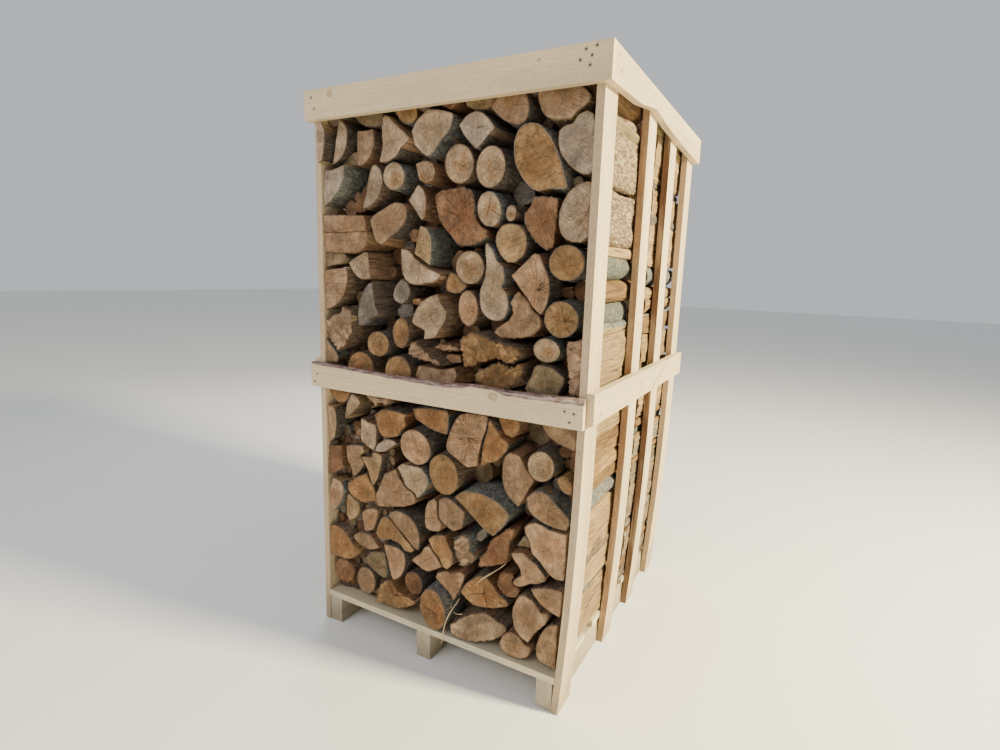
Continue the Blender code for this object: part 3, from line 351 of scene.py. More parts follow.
    122: ("orange", 2, -121, 972, -86, 981, -35, 987, 30, 988, 40, 975, 40, 925, 35, 899, 2, 900, -45, 911,
        -80, 923, -105, 938),
    123: ("peach", 6, 108, 1350, 42, 62),
}


def bow(z: float) -> float:
    """How far the right-hand uprights stand in at a height.

    Args:
        z: Height above the ground, in metres.

    Returns:
        The distance inwards, in metres.
    """
    if z >= BOW_HEIGHT:
        return 0.0
    step = BOW_HEIGHT / BOW_RUNS
    below = math.floor(z / step) * step
    lower, upper = (BOW_AT_FOOT * (1 - level / BOW_HEIGHT) ** 2 for level in (below, below + step))
    return lower + (upper - lower) * (z - below) / step


def full_outline(numbers: list[int]) -> tuple[list[Point], bool]:
    """A log end's outline in metres.

    Args:
        numbers: Its corners' coordinates in millimetres, or the centre and half sizes of an oval.

    Returns:
        The outline's points, anticlockwise as seen from the front, and whether the log is round.
    """
    sizes = [value / 1000 for value in numbers]
    if len(sizes) == 4:
        x, z, half_width, half_height = sizes
        turns = [2 * math.pi * k / ROUND_POINTS for k in range(ROUND_POINTS)]
        return [(x + half_width * math.cos(a), z + half_height * math.sin(a)) for a in turns], True
    outline = list(zip(sizes[::2], sizes[1::2]))
    area = sum(a[0] * b[1] - b[0] * a[1] for a, b in zip(outline, outline[1:] + outline[:1]))
    return (outline if area > 0 else outline[::-1]), False


def rear_outline(outline: list[Point]) -> list[Point]:
    """The outline of the log's twin in the rear row.

    Args:
        outline: The front log's outline, anticlockwise.

    Returns:
        The outline upside down within the stack and inside the bowed side, still anticlockwise.
    """
    flipped = []
    for x, z in reversed(outline):
        height = REAR_FLIP - z
        if x > 0:
            x *= (INNER - bow(height)) / (INNER - bow(z))
        flipped.append((x, height))
    return flipped


def log_span(number: int, setback: float, row: Row) -> tuple[float, float]:
    """Where a log begins and ends along the crate's depth.

    Args:
        number: The log's number, which its length varies with.
        setback: How far its end is set back from the row's face, in millimetres.
        row: The row it lies in.

    Returns:
        The place of its outer end and of its inner end, in metres.
    """
    if row is Row.REAR:
        setback = max(setback, REAR_LEAST_SETBACK)
    face = -LOG_FACE - setback / 1000
    length = ROW_LENGTH + LENGTH_VARIES * math.sin(number * LENGTH_STEP)
    return (face, face - length) if row is Row.REAR else (-face, -face + length)


def shaded(colour: Colour, by: Colour) -> Colour:
    """A colour with each of its parts multiplied."""
    return tuple(part * share for part, share in zip(colour, by))


def new_object(name: str, places: list, faces: list,
               materials: list[bpy.types.Material]) -> bpy.types.Object:
    """Makes a mesh object in the scene.

    Args:
        name: The object's name.
        places: Its vertices.
        faces: Its faces, as the numbers of their vertices.
        materials: Its materials.

    Returns:
        The new object.
    """
    mesh = bpy.data.meshes.new(name)
    mesh.from_pydata([tuple(p) for p in places], [], faces)
    for material in materials:
        mesh.materials.append(material)
    mesh.update()
    piece = bpy.data.objects.new(name, mesh)
    bpy.context.scene.collection.objects.link(piece)
    return piece


def smooth(mesh: bpy.types.Mesh, sharp_angle: float) -> None:
    """Shades a mesh smoothly.

    Args:
        mesh: The mesh.
        sharp_angle: The angle between faces beyond which their edge stays sharp.
    """
    mesh.polygons.foreach_set("use_smooth", [True] * len(mesh.polygons))
    mesh.update()
    mesh.set_sharp_from_angle(angle=sharp_angle)


def smooth_step(low: float, high: float, value: float) -> float:
    """An even change from 0 at low to 1 at high.

    Args:
        low: Where the change begins.
        high: Where it is complete.
        value: The place asked for.

    Returns:
        The share of the change there.
    """
    share = min(1.0, max(0.0, (value - low) / (high - low)))
    return share * share * (3 - 2 * share)


@dataclass
class RimPoint:
    """A point of a log's rim: its place, whether bark lies there, and the way out of the log."""

    place: Vector
    barky: float
    out: Vector = field(default_factory=lambda: Vector((0, 0)))


@dataclass
class Rim:
    """The rim of a log's end: curved where the trunk's outside was, straight where it was split.

    It is made from the outline's corners, anticlockwise, with a point at every step along it. A
    round log has bark all round it.
    """

    outline: list[Point]
    is_round: bool
    step: float

    def __post_init__(self) -> None:
        """Works out the rim."""
        self.corners = [Vector(c) for c in self.outline]
        self.points: list[RimPoint] = []
        turns = [self._turn(k) for k in range(len(self.corners))]
        for k in range(len(self.corners)):
            self._add_run(k, turns)
        self._soften()
        self._find_ways_out()
        self.centre = sum((p.place for p in self.points), Vector((0, 0))) / len(self.points)
        self.pith = self._find_pith()
        self.radius = max((p.place - self.pith).length for p in self.points)

    def _turn(self, k: int) -> float:
        """How much the outline turns at a corner.

        Args:
            k: The corner's number.

        Returns:
            The angle in radians, positive where the outline is convex.
        """
        back = self.corners[k] - self.corners[k - 1]
        ahead = self.corners[(k + 1) % len(self.corners)] - self.corners[k]
        return math.atan2(back.x * ahead.y - back.y * ahead.x, back.dot(ahead))

    def _add_run(self, k: int, turns: list[float]) -> None:
        """Adds the points from corner k to the next one.

        Args:
            k: Number of the first corner.
            turns: The turn at every corner.
        """
        count = len(self.corners)
        start = self.corners[k]
        end = self.corners[(k + 1) % count]
        chord = end - start
        bends = [CURVED_TURN < turns[j % count] < SHARP_TURN for j in (k, k + 1)]
        curved = self.is_round or any(bends)
        barky = 1.0 if curved else 0.0
        leave = end - self.corners[k - 1] if curved and bends[0] else chord
        arrive = self.corners[(k + 2) % count] - start if curved and bends[1] else chord
        leave = leave.normalized() * chord.length
        arrive = arrive.normalized() * chord.length
        pieces = max(1, round(chord.length / self.step))
        for j in range(pieces):
            t = j / pieces
            place = (start * (2 * t ** 3 - 3 * t ** 2 + 1) + leave * (t ** 3 - 2 * t ** 2 + t)
                     + end * (3 * t ** 2 - 2 * t ** 3) + arrive * (t ** 3 - t ** 2))
            self.points.append(RimPoint(place, barky))

    def _soften(self) -> None:
        """Rounds the sharp corners off a little."""
        places = [p.place.copy() for p in self.points]
        count = len(places)
        for k, point in enumerate(self.points):
            point.place = places[k] * 0.7 + (places[k - 1] + places[(k + 1) % count]) * 0.15

    def _find_ways_out(self) -> None:
        """Finds the way out of the log at every point."""
        count = len(self.points)
        for k, point in enumerate(self.points):
            along = self.points[(k + 1) % count].place - self.points[k - 1].place
            point.out = Vector((along.y, -along.x)).normalized()

    def _find_pith(self) -> Vector:
        """The middle of the year rings: the centre of the circle that fits the bark best.

        Returns:
            Its place, which for a split log may lie outside the outline.
        """
        bark = [p.place for p in self.points if p.barky > 0.5]
        if self.is_round:
            return self.centre + Vector((0.10, -0.06)) * self.width()
        if len(bark) < 5:
            return self.centre + Vector((0.8, 0.9)) * self.width()
        middle = sum(bark, Vector((0, 0))) / len(bark)
        offsets = [(*(place - middle), (place - middle).length_squared) for place in bark]
        suu, suv, svv = (sum(o[a] * o[b] for o in offsets) for a, b in ((0, 0), (0, 1), (1, 1)))
        suw, svw = (sum(o[a] * o[2] for o in offsets) for a in (0, 1))
        det = suu * svv - suv * suv
        if abs(det) < 1e-16:
            return self.centre + Vector((0.8, 0.9)) * self.width()
        away = Vector((suw * svv - svw * suv, svw * suu - suw * suv)) / (2 * det)
        if away.length > MOST_RING_RADIUS:
            away = away.normalized() * MOST_RING_RADIUS
        return middle + away

    def width(self) -> float:
        """The rim's larger extent.

        Returns:
            The larger of its width and height, in metres.
        """
        xs = [p.place.x for p in self.points]
        zs = [p.place.y for p in self.points]
        return max(max(xs) - min(xs), max(zs) - min(zs))

    def distance(self, place: Vector, barky: bool = False) -> float:
        """How far a place is from the rim.

        Args:
            place: The place in the end's plane.
            barky: Whether only the bark counts.

        Returns:
            The distance, or a large number if there is no such rim.
        """
        best = 1.0
        count = len(self.points)
        for k, point in enumerate(self.points):
            if barky and point.barky < 0.5:
                continue
            end = self.points[(k + 1) % count].place
            chord = end - point.place
            share = (place - point.place).dot(chord) / max(chord.length_squared, 1e-12)
            share = min(1.0, max(0.0, share))
            best = min(best, (point.place + chord * share - place).length)
        return best

    def holds(self, place: Vector) -> bool:
        """Whether a place lies inside the rim.

        Args:
            place: The place in the end's plane.

        Returns:
            True inside the rim.
        """
        inside = False
        count = len(self.points)
        for k, point in enumerate(self.points):
            a = point.place
            b = self.points[(k + 1) % count].place
            if (a.y > place.y) != (b.y > place.y):
                if place.x < (b.x - a.x) * (place.y - a.y) / (b.y - a.y) + a.x:
                    inside = not inside
        return inside


@dataclass(frozen=True)
class Detail:
    """How finely a log is meshed: rim and cap spacing, and the places of its hoops along it."""

    rim_step: float
    cap_step: float
    hoops: tuple[float, ...]


CLOSE = Detail(0.0062, 0.013, (0.0, 0.006, 0.016, 0.03, 0.05, 0.08, 0.12, 0.17, 0.23, 0.30, 0.38, 0.47,
                               0.57, 0.68, 0.79, 0.90, 1.0))
PLAIN = Detail(0.011, 0.024, (0.0, 0.012, 0.04, 0.10, 0.22, 0.38, 0.56, 0.75, 0.90, 1.0))


@dataclass
class LogMesh:
    """The vertices, faces and per-vertex values of one or more logs."""

    places: list[Vector] = field(default_factory=list)
    faces: list[tuple[int, ...]] = field(default_factory=list)
    face_slots: list[int] = field(default_factory=list)
    vectors: dict[str, list[Vector]] = field(default_factory=lambda: {word: [] for word in VECTORS})
    tints: dict[str, list[Colour]] = field(default_factory=lambda: {word: [] for word in TINTS})

    def to_object(self, name: str, materials: list[bpy.types.Material]) -> bpy.types.Object:
        """Makes the object.

        Args:
            name: The object's name.
            materials: Its materials, the ends' first.

        Returns:
            The new object, in the row frame.
        """
        piece = new_object(name, self.places, self.faces, materials)
        mesh = piece.data
        for word, values in self.vectors.items():
            layer = mesh.attributes.new(word, "FLOAT_VECTOR", "POINT")
            layer.data.foreach_set("vector", [c for v in values for c in v])
        for word, values in self.tints.items():
            layer = mesh.attributes.new(word, "FLOAT_COLOR", "POINT")
            layer.data.foreach_set("color", [c for v in values for c in (*v, 1.0)])
        mesh.polygons.foreach_set("material_index", self.face_slots)
        smooth(mesh, SOFT_SHARP_ANGLE)
        return piece


@dataclass(frozen=True)
class LogNote:
    """What is special about one log, as seen in the photo."""

    bark: Bark | None = None
    ragged: float | None = None
    tone: float = 1.0
    tilt: tuple[float, float] | None = None
    cracks: float | None = None
    grain: float | None = None
    barky_side: bool = False


NOTES = {
    1: LogNote(Bark.DARK),
    9: LogNote(Bark.LICHEN),
    12: LogNote(Bark.SLATE),
    16: LogNote(Bark.RUST, ragged=0.3, tone=0.86, tilt=(0.0, 0.0), grain=1.57),
    17: LogNote(Bark.RUST, ragged=0.3, tone=0.84, tilt=(0.0, 0.0), grain=1.57),
    23: LogNote(Bark.LICHEN),
    28: LogNote(Bark.BROWN, ragged=0.8),
    34: LogNote(Bark.BROWN, ragged=0.9),
    44: LogNote(Bark.SLATE, cracks=0.7),
    42: LogNote(Bark.BEIGE, barky_side=True),
    43: LogNote(Bark.DARK, grain=0.0, cracks=0.8),
    51: LogNote(Bark.BEIGE, barky_side=True),
    52: LogNote(Bark.BEIGE, barky_side=True),
    53: LogNote(Bark.CHALK, ragged=0.1),
    54: LogNote(Bark.DARK, cracks=0.9),
    55: LogNote(Bark.RUST, grain=0.0, ragged=0.4),
    56: LogNote(Bark.SMOOTH),
    57: LogNote(Bark.SMOOTH, cracks=0.8),
    58: LogNote(Bark.SMOOTH),
    59: LogNote(Bark.BEIGE),
    61: LogNote(Bark.BROWN, ragged=0.9),
    62: LogNote(Bark.BROWN, ragged=0.9),
    67: LogNote(Bark.BROWN, ragged=0.9),
    73: LogNote(Bark.DARK),
    80: LogNote(Bark.DARK, cracks=1.0),
    89: LogNote(Bark.LICHEN),
    104: LogNote(Bark.RUST, ragged=0.4, cracks=0.9),
    105: LogNote(Bark.SLATE, cracks=0.8),
    106: LogNote(Bark.BROWN, ragged=0.5, tone=0.92),
    109: LogNote(Bark.BROWN, ragged=0.3),
    113: LogNote(Bark.RUST, ragged=0.5),
    115: LogNote(Bark.DARK, ragged=0.3, cracks=1.0),
    116: LogNote(Bark.BROWN, ragged=0.45),
    117: LogNote(Bark.LICHEN, ragged=1.0),
    120: LogNote(Bark.LICHEN),
}


@dataclass(frozen=True)
class LogSpec:
    """A log's number, kind, setback in millimetres, and outline in metres, anticlockwise."""

    number: int
    kind: Kind
    setback: float
    corners: list[Point]
    is_round: bool

    @classmethod
    def from_table(cls, number: int, row: Row) -> "LogSpec":
        """The description of a traced log, or of its twin in the rear row.

        Args:
            number: The log's number.
            row: The row it lies in.

        Returns:
            The description.
        """
        kind, setback, *numbers = LOGS[number]
        corners, is_round = full_outline(numbers)
        if row is Row.REAR:
            corners = rear_outline(corners)
        return cls(number, Kind(kind), setback, corners, is_round)


@dataclass
class SplitLog:
    """One log: a sawn end, split faces and bark along it, and a plain far end."""

    spec: LogSpec
    row: Row
    detail: Detail
    strand_depth: float = 0.0075
    stair_depth: float = 0.019
    end_rounding: float = 0.0016
    rounding_reach: float = 0.004
    relief_reach: float = 0.02
    jag_depth: float = 0.0130
    dent_depth: float = 0.016
    side_inset: float = 0.0012
    least_room: float = 0.004
    taper: float = 0.035
    ring_inset: float = 0.0042
    ring_gap: float = 0.003
    grid_inset: float = 0.0085
    row_height: float = 0.87
    most_lean: float = 0.09
    usual_cracks: float = 0.35

    def __post_init__(self) -> None:
        """Works out the log's rim, place, colours and marks."""
        spec = self.spec
        self.number = spec.number
        self.note = NOTES.get(self.number, LogNote())
        self.rim = Rim(spec.corners, spec.is_round, self.detail.rim_step)
        self.start, self.end = log_span(self.number, spec.setback, self.row)
        self.chance = random.Random(self.number * 7 + (3 if self.row is Row.REAR else 0))
        self.seed = self.chance.random()
        self.grain = self.seed * 6.28 if self.note.grain is None else self.note.grain
        if self.note.barky_side:
            for point in self.rim.points:
                if point.place.x > SIDE_LOGS:
                    point.barky = 1.0
        self.tints = self._tints()
        self.lean = self._lean()
        ringed = 1.0 if spec.is_round else 0.30
        self.marks = Vector((ringed * (1 - 0.8 * self._ragged()), self.chance.uniform(0.25, 1.0),
                             self.chance.uniform(0.1, 1.0)))

    def _tints(self) -> tuple[Colour, ...]:
        """The log's own shades of its kind's colours, with painted light on the split faces of logs near the
        sides and painted shade on those further in.

        Returns:
            The colours of its end, heart, split faces, bark and furrows.
        """
        look = PALETTE[self.spec.kind]
        tone = self.note.tone * self.chance.uniform(0.90, 1.10)
        warm = self.chance.uniform(0.94, 1.06)
        end = (look.end[0] * tone, look.end[1] * tone / warm ** 0.5, look.end[2] * tone / warm)
        heart = tuple(c * tone for c in look.heart)
        # Painted light and shade: split faces near the sides are lighter as if lit, those further in darker
        # as if in shade.
        outer = abs(self.rim.centre.x) > OUTER_LOGS
        split_light_and_shade = self.chance.uniform(0.60, 0.95) if outer else self.chance.uniform(0.46, 0.78)
        green, blue = (1.07, 0.96) if outer else (0.88, 0.92)
        split = (look.split[0] * split_light_and_shade, look.split[1] * split_light_and_shade * green, look.split[2] * split_light_and_shade * blue)
        bark = self.note.bark or self.chance.choice((Bark.BROWN, Bark.BROWN, Bark.DARK, Bark.RUST,
                                                     Bark.SLATE, Bark.DARK))
        self.lichen = bark.value[2]
        return end, heart, split, bark.value[0], bark.value[1]

    def _lean(self) -> Vector:
        """How the sawn end leans.

        Returns:
            Its slope along x and z.
        """
        if self.note.tilt:
            return Vector(self.note.tilt)
        return Vector([self.chance.uniform(-self.most_lean, self.most_lean) for _axis in range(2)])

    def _ragged(self) -> float:
        """How torn the end is.

        Returns:
            A share from 0 for a clean saw cut to 1.
        """
        if self.note.ragged is not None:
            return self.note.ragged
        return PALETTE[self.spec.kind].ragged

    def _end_relief(self, place: Vector, inset: float) -> float:
        """How far the sawn end lies behind its plane at a place.

        Args:
            place: The place in the end's plane.
            inset: Its distance from the rim.

        Returns:
            The depth in metres.
        """
        ragged = self._ragged()
        at = Vector((place.x * 26, self.number * 3.7, place.y * 26))
        broad = noise.noise(at) * (0.0014 + 0.0040 * ragged)
        fine = noise.noise(at * 4.5) * (0.0005 + 0.0020 * ragged)
        turn = self.grain + math.pi / 2
        down = place.x * math.cos(turn) + place.y * math.sin(turn)
        over = place.y * math.cos(turn) - place.x * math.sin(turn)
        strand = noise.noise(Vector((down * 22, over * 130, self.number * 1.3)))
        stair = noise.noise(Vector((down * 9, over * 26, self.number * 2.1))) * 3.0
        stair = (math.floor(stair) + smooth_step(0.3, 0.7, stair - math.floor(stair))) / 3.0
        torn = (strand * self.strand_depth + stair * self.stair_depth) * ragged ** 1.5
        round_off = self.end_rounding * (1 - smooth_step(0.0, self.rounding_reach, inset))
        round_off *= 1 + 2 * ragged
        slope = self.lean.dot(place - self.rim.centre)
        return slope + broad + fine + torn + round_off

    def _side_relief(self, point: RimPoint, place: Vector, along: float) -> float:
        """How far the side stands out at a place, always a little inside the outline.

        Args:
            point: The rim's point.
            place: Its place in the end's plane.
            along: Its distance from the sawn end.

        Returns:
            The distance outwards in metres.
        """
        seed = self.number * 5.3
        broad = noise.noise(Vector((place.x * 22, along * 5 + seed, place.y * 22)))
        grain = noise.noise(Vector((place.x * 95, along * 7 + seed, place.y * 95)))
        knobbly = noise.noise(Vector((place.x * 60, along * 34 + seed, place.y * 60)))
        split = broad * 0.0030 + grain * 0.0019
        bark = broad * 0.0016 + knobbly * 0.0017
        grow = smooth_step(0.0, 0.03, along)
        swell = min(MOST_SWELL * smooth_step(0.015, 0.13, along), self._room(place))
        jag = noise.noise(Vector((place.x * 110, seed, place.y * 110))) * self.jag_depth
        jag *= self._ragged() * (1 - 0.7 * grow)
        dent = 0.0
        if abs(place.x) > SIDE_LOGS:
            dent = abs(noise.noise(Vector((place.y * 13, along * 6 + seed, 3.0))))
            dent *= self.dent_depth * grow
        relief = (split + (bark - split) * point.barky) * (0.35 + 0.65 * grow)
        return relief + jag + swell - dent - self.side_inset

    def _room(self, place: Vector) -> float:
        """How far a side may swell before it meets the uprights or the deck.

        Args:
            place: The side's place in the end's plane.

        Returns:
            The room in metres.
        """
        room = min(place.x + INNER, INNER - bow(place.y) - place.x, place.y - DECK_TOP)
        return max(0.0, room - self.least_room)

    def _shift(self, share: float) -> tuple[float, Vector]:
        """How the outline changes along the log.

        Args:
            share: The share of the log's length.

        Returns:
            What its size is multiplied by there, and how far its centre wanders.
        """
        seed = self.number * 1.9
        shrink = 1 - self.taper * share * (0.6 + noise.noise(Vector((seed, share * 1.5, 0.0))))
        wander = Vector((noise.noise(Vector((seed, share * 1.7, 5.0))),
                         noise.noise(Vector((seed, share * 1.7, 9.0)))))
        free = min(1.0, max(0.0, (SIDE_LOGS - abs(self.rim.centre.x)) / 0.1))
        return shrink, wander * (0.003 + 0.012 * free) * share

    def add_to(self, mesh: LogMesh) -> None:
        """Adds the log to a mesh.

        Args:
            mesh: The mesh that receives it.
        """
        sign = 1.0 if self.end > self.start else -1.0
        length = abs(self.end - self.start)
        hoops: list[list[int]] = []
        for share in self.detail.hoops:
            along = share * length
            shrink, wander = self._shift(share)
            hoop = []
            for point in self.rim.points:
                place = self.rim.centre + (point.place - self.rim.centre) * shrink + wander
                place = place + point.out * self._side_relief(point, place, along)
                back = 0.0
                if along < self.relief_reach:
                    back = self._end_relief(place, 0.0) * (1 - along / self.relief_reach)
                y = self.start + sign * (along + back)
                hoop.append(self._vertex(mesh, place, y, sign, 0.0, point.barky))
            hoops.append(hoop)
        count = len(self.rim.points)
        for near, far in zip(hoops, hoops[1:]):
            for k in range(count):
                j = (k + 1) % count
                face = (near[k], near[j], far[j], far[k])
                mesh.faces.append(face if sign > 0 else face[::-1])
                mesh.face_slots.append(1)
        self._cap(mesh, hoops[0], self.start, sign, True)
        self._cap(mesh, hoops[-1], self.end, -sign, False)

    def _vertex(self, mesh: LogMesh, place: Vector, y: float, sign: float, inset: float,
                barky: float) -> int:
        """Adds a vertex and its values.

        Args:
            mesh: The mesh that receives it.
            place: Its x and z.
            y: Its place along the depth.
            sign: The way the log runs from its sawn end.
            inset: Its distance from the rim.
            barky: Whether it lies on bark.

        Returns:
            The vertex's number.
        """
        mesh.places.append(Vector((place.x, y, place.y)))
        wood = Vector((place.x - self.rim.pith.x, (y - self.start) * sign + self.seed * 9,
                       place.y - self.rim.pith.y))
        cracks = self.usual_cracks if self.note.cracks is None else self.note.cracks
        values = (wood, Vector((inset, self.rim.radius, self.seed)),
                  Vector((self.grain, self._ragged(), self.lichen)), Vector((barky, inset, cracks)),
                  self.marks)
        for word, value in zip(VECTORS, values):
            mesh.vectors[word].append(value)
        for word, tint in zip(TINTS, self.tints):
            mesh.tints[word].append(tint)
        return len(mesh.places) - 1

    def _cap(self, mesh: LogMesh, hoop: list[int], y: float, sign: float, sawn: bool) -> None:
        """Closes an end with a cap whose inner points carry the end's relief.

        Args:
            mesh: The mesh that receives it.
            hoop: The rim's vertices.
            y: Place of the end along the depth.
            sign: The way into the log from this end.
            sawn: Whether it is the end that shows.
        """
        rim = [Vector((mesh.places[k].x, mesh.places[k].z)) for k in hoop]
        inner = self._inner_points(rim, sawn)
        flat = rim + inner
        edges = [(k, (k + 1) % len(rim)) for k in range(len(rim))]
        found = delaunay_2d_cdt(flat, edges, [list(range(len(rim)))], 1, 1e-7)
        numbers = {}
        for k, place in enumerate(found[0]):
            source = found[3][k][0] if found[3][k] else -1
            if 0 <= source < len(rim):
                numbers[k] = hoop[source]
                continue
            inset = self.rim.distance(place)
            bark_away = self.rim.distance(place, True)
            depth = self._end_relief(place, inset) if sawn else 0.0
            new = self._vertex(mesh, place, y + sign * depth, sign, min(bark_away, 0.2), 0.0)
            edge = mesh.vectors["edge"]
            edge[new] = Vector((0.0, inset, edge[new].z))
            numbers[k] = new
        for face in found[2]:
            if len(face) < 3:
                continue
            corners = tuple(numbers[k] for k in face)
            if len(set(corners)) < 3:
                continue
            mesh.faces.append(self._facing(mesh, corners, -sign))
            mesh.face_slots.append(0)

    def _inner_points(self, rim: list[Vector], sawn: bool) -> list[Vector]:
        """The cap's points inside the rim: a close ring behind the edge, and a loose grid.

        Args:
            rim: The rim's places.
            sawn: Whether the end shows; a hidden one gets no ring.

        Returns:
            Their places.
        """
        step = self.detail.cap_step
        found: list[Vector] = []
        if sawn and self.detail is CLOSE:
            for point, place in zip(self.rim.points, rim):
                new = place - point.out * self.ring_inset
                if self.rim.holds(new) and self.rim.distance(new) > self.ring_gap:
                    if all((new - other).length > self.ring_gap for other in found[-3:]):
                        found.append(new)
        low = Vector((min(p.x for p in rim), min(p.y for p in rim)))
        high = Vector((max(p.x for p in rim), max(p.y for p in rim)))
        across = max(1, int((high.x - low.x) / step) + 1)
        rise = step * self.row_height
        up = max(1, int((high.y - low.y) / rise) + 1)
        for j in range(up):
            for k in range(across):
                place = low + Vector(((k + 0.5 * (j % 2)) * step, j * rise))
                place += Vector((self.chance.uniform(-1, 1), self.chance.uniform(-1, 1))) * step * 0.16
                if self.rim.holds(place) and self.rim.distance(place) > self.grid_inset:
                    found.append(place)
        return found

    @staticmethod
    def _facing(mesh: LogMesh, corners: tuple[int, ...], way: float) -> tuple[int, ...]:
        """Turns a face round if it faces the wrong way.

        Args:
            mesh: The mesh that holds its corners.
            corners: The corners' numbers.
            way: Which way along Y the face looks.

        Returns:
            The corners in the order that makes it look that way.
        """
        a, b, c = (mesh.places[k] for k in corners[:3])
        normal = (b - a).cross(c - a)
        return corners if normal.y * way > 0 else corners[::-1]


class ShaderTree:
    """A material's shader tree, put together one node at a time."""

    def __init__(self, name: str) -> None:
        """Makes an empty material with a Principled shader.

        Args:
            name: The material's name.
        """
        self.material = bpy.data.materials.new(name)
        self.material.use_nodes = True
        self.nodes = self.material.node_tree.nodes
        self.links = self.material.node_tree.links
        self.shader = self.nodes["Principled BSDF"]

    def node(self, kind: str, inputs: dict | None = None, **settings: object) -> bpy.types.Node:
        """Adds a node.

        Args:
            kind: The node's type, without its "ShaderNode" beginning.
            inputs: Values or sockets for its inputs, by name or number.
            settings: Its properties.

        Returns:
            The new node.
        """
        made = self.nodes.new("ShaderNode" + kind)
        for key, value in settings.items():
            setattr(made, key, value)
        for key, value in (inputs or {}).items():
            if isinstance(value, Socket):
                self.links.new(value, made.inputs[key])
            else:
                made.inputs[key].default_value = value
        return made

    def maths(self, operation: str, *values: object) -> Socket:
        """A sum of one, two or three values or sockets."""
        return self.node("Math", dict(enumerate(values)), operation=operation).outputs[0]

    def times(self, *values: object) -> Socket:
        """Values or sockets multiplied, one after another."""
        return reduce(lambda first, second: self.maths("MULTIPLY", first, second), values)

    def uneven(self, texture: Socket, amount: float, base: object) -> Socket:
        """A value made uneven by a noise whose middle is 0.5."""
        return self.maths("MULTIPLY_ADD", self.maths("SUBTRACT", texture, 0.5), amount, base)

    def vector(self, operation: str, *values: object) -> bpy.types.Node:
        """A vector sum of values or sockets."""
        return self.node("VectorMath", dict(enumerate(values)), operation=operation)

    def stretched(self, place: Socket, by: tuple) -> Socket:
        """A place with each of its coordinates multiplied."""
        return self.vector("MULTIPLY", place, by).outputs[0]

    def noise(self, place: Socket, scale: float, detail: float = 3.0,
              rough: float = 0.55, bend: float = 0.0) -> Socket:
        """Noise in space, from about 0.25 to 0.75.

        Args:
            place: Where it is read.
            scale: Its scale.
            detail: How many finer layers lie over it.
            rough: How strong those are.
            bend: How much it is distorted.

        Returns:
            The noise's value.
        """
        return self.node("TexNoise", {"Vector": place, "Scale": scale, "Detail": detail,
                                      "Roughness": rough, "Distortion": bend}).outputs["Fac"]

    def lines(self, along: Socket, scale: float, detail: float = 2.0) -> Socket:
        """Uneven lines across a single value, from about 0.25 to 0.75."""
        return self.node("TexNoise", {"W": along, "Scale": scale, "Detail": detail,
                                      "Roughness": 0.6}, noise_dimensions="1D").outputs["Fac"]

    def span(self, value: Socket, low: object, high: object, to_low: float = 0.0,
             to_high: float = 1.0, smooth: bool = True) -> Socket:
        """A value's place between two limits, smoothly from one result to the other.

        Args:
            value: The value.
            low: Where the change begins.
            high: Where it is complete.
            to_low: The result at low.
            to_high: The result at high.
            smooth: Whether the change eases in and out.

        Returns:
            The result's socket.
        """
        kind = "SMOOTHSTEP" if smooth else "LINEAR"
        return self.node("MapRange", {"Value": value, "From Min": low, "From Max": high,
                                      "To Min": to_low, "To Max": to_high},
                         interpolation_type=kind).outputs[0]

    def blend(self, share: object, first: object, second: object, way: str = "MIX") -> Socket:
        """Two colours mixed by a share.

        Args:
            share: The second's share.
            first: The first colour.
            second: The second colour.
            way: How they are mixed.

        Returns:
            The mixed colour.
        """
        colours = {6: first, 7: second}
        for key, value in colours.items():
            if isinstance(value, tuple) and len(value) == 3:
                colours[key] = (*value, 1.0)
        return self.node("Mix", {0: share, **colours}, data_type="RGBA", blend_type=way).outputs[2]

    def tone(self, colour: Socket, value: Socket, low: float,
             high: float) -> Socket:
        """A colour made darker or lighter by a value between 0.3 and 0.7.

        Args:
            colour: The colour.
            value: The value, such as a noise.
            low: What the colour is multiplied by where the value is low.
            high: The same where it is high.

        Returns:
            The new colour.
        """
        factor = self.span(value, 0.3, 0.7, low, high, smooth=False)
        grey = self.node("CombineColor", {0: factor, 1: factor, 2: factor}).outputs[0]
        return self.blend(1.0, colour, grey, "MULTIPLY")

    def attribute(self, name: str) -> bpy.types.Node:
        """A value that the mesh carries at each vertex."""
        return self.node("Attribute", attribute_name=name)

    def carried(self, name: str) -> list[Socket]:
        """The three parts of a vector that the mesh carries at each vertex."""
        return self.parts(self.attribute(name).outputs["Vector"])

    def tint(self, name: str) -> Socket:
        """A colour that the mesh carries at each vertex."""
        return self.attribute(name).outputs["Color"]

    def bent(self, place: Socket, scale: float, by: Place, start: Socket | None = None) -> Socket:
        """A place pushed about by a noise.

        Args:
            place: Where the noise is read.
            scale: The noise's scale.
            by: How far it pushes along each axis.
            start: The place that is pushed, if it isn't where the noise is read.

        Returns:
            The new place.
        """
        push = self.node("TexNoise", {"Vector": place, "Scale": scale}).outputs["Color"]
        return self.vector("MULTIPLY_ADD", push, by, place if start is None else start).outputs[0]

    def turned(self, x: Socket, z: Socket, angle: Socket) -> tuple[Socket, Socket]:
        """A place in a plane, seen from axes turned by an angle.

        Args:
            x: Its first coordinate.
            z: Its second coordinate.
            angle: The angle in radians.

        Returns:
            Its coordinates along the turned axes.
        """
        cosine = self.maths("COSINE", angle)
        sine = self.maths("SINE", angle)
        return (self.maths("ADD", self.times(x, cosine), self.times(z, sine)),
                self.maths("SUBTRACT", self.times(z, cosine), self.times(x, sine)))

    def parts(self, place: Socket) -> list[Socket]:
        """The three coordinates of a place."""
        return list(self.node("SeparateXYZ", {0: place}).outputs)

    def place(self, x: object, y: object, z: object) -> Socket:
        """A place put together from its coordinates."""
        return self.node("CombineXYZ", {0: x, 1: y, 2: z}).outputs[0]

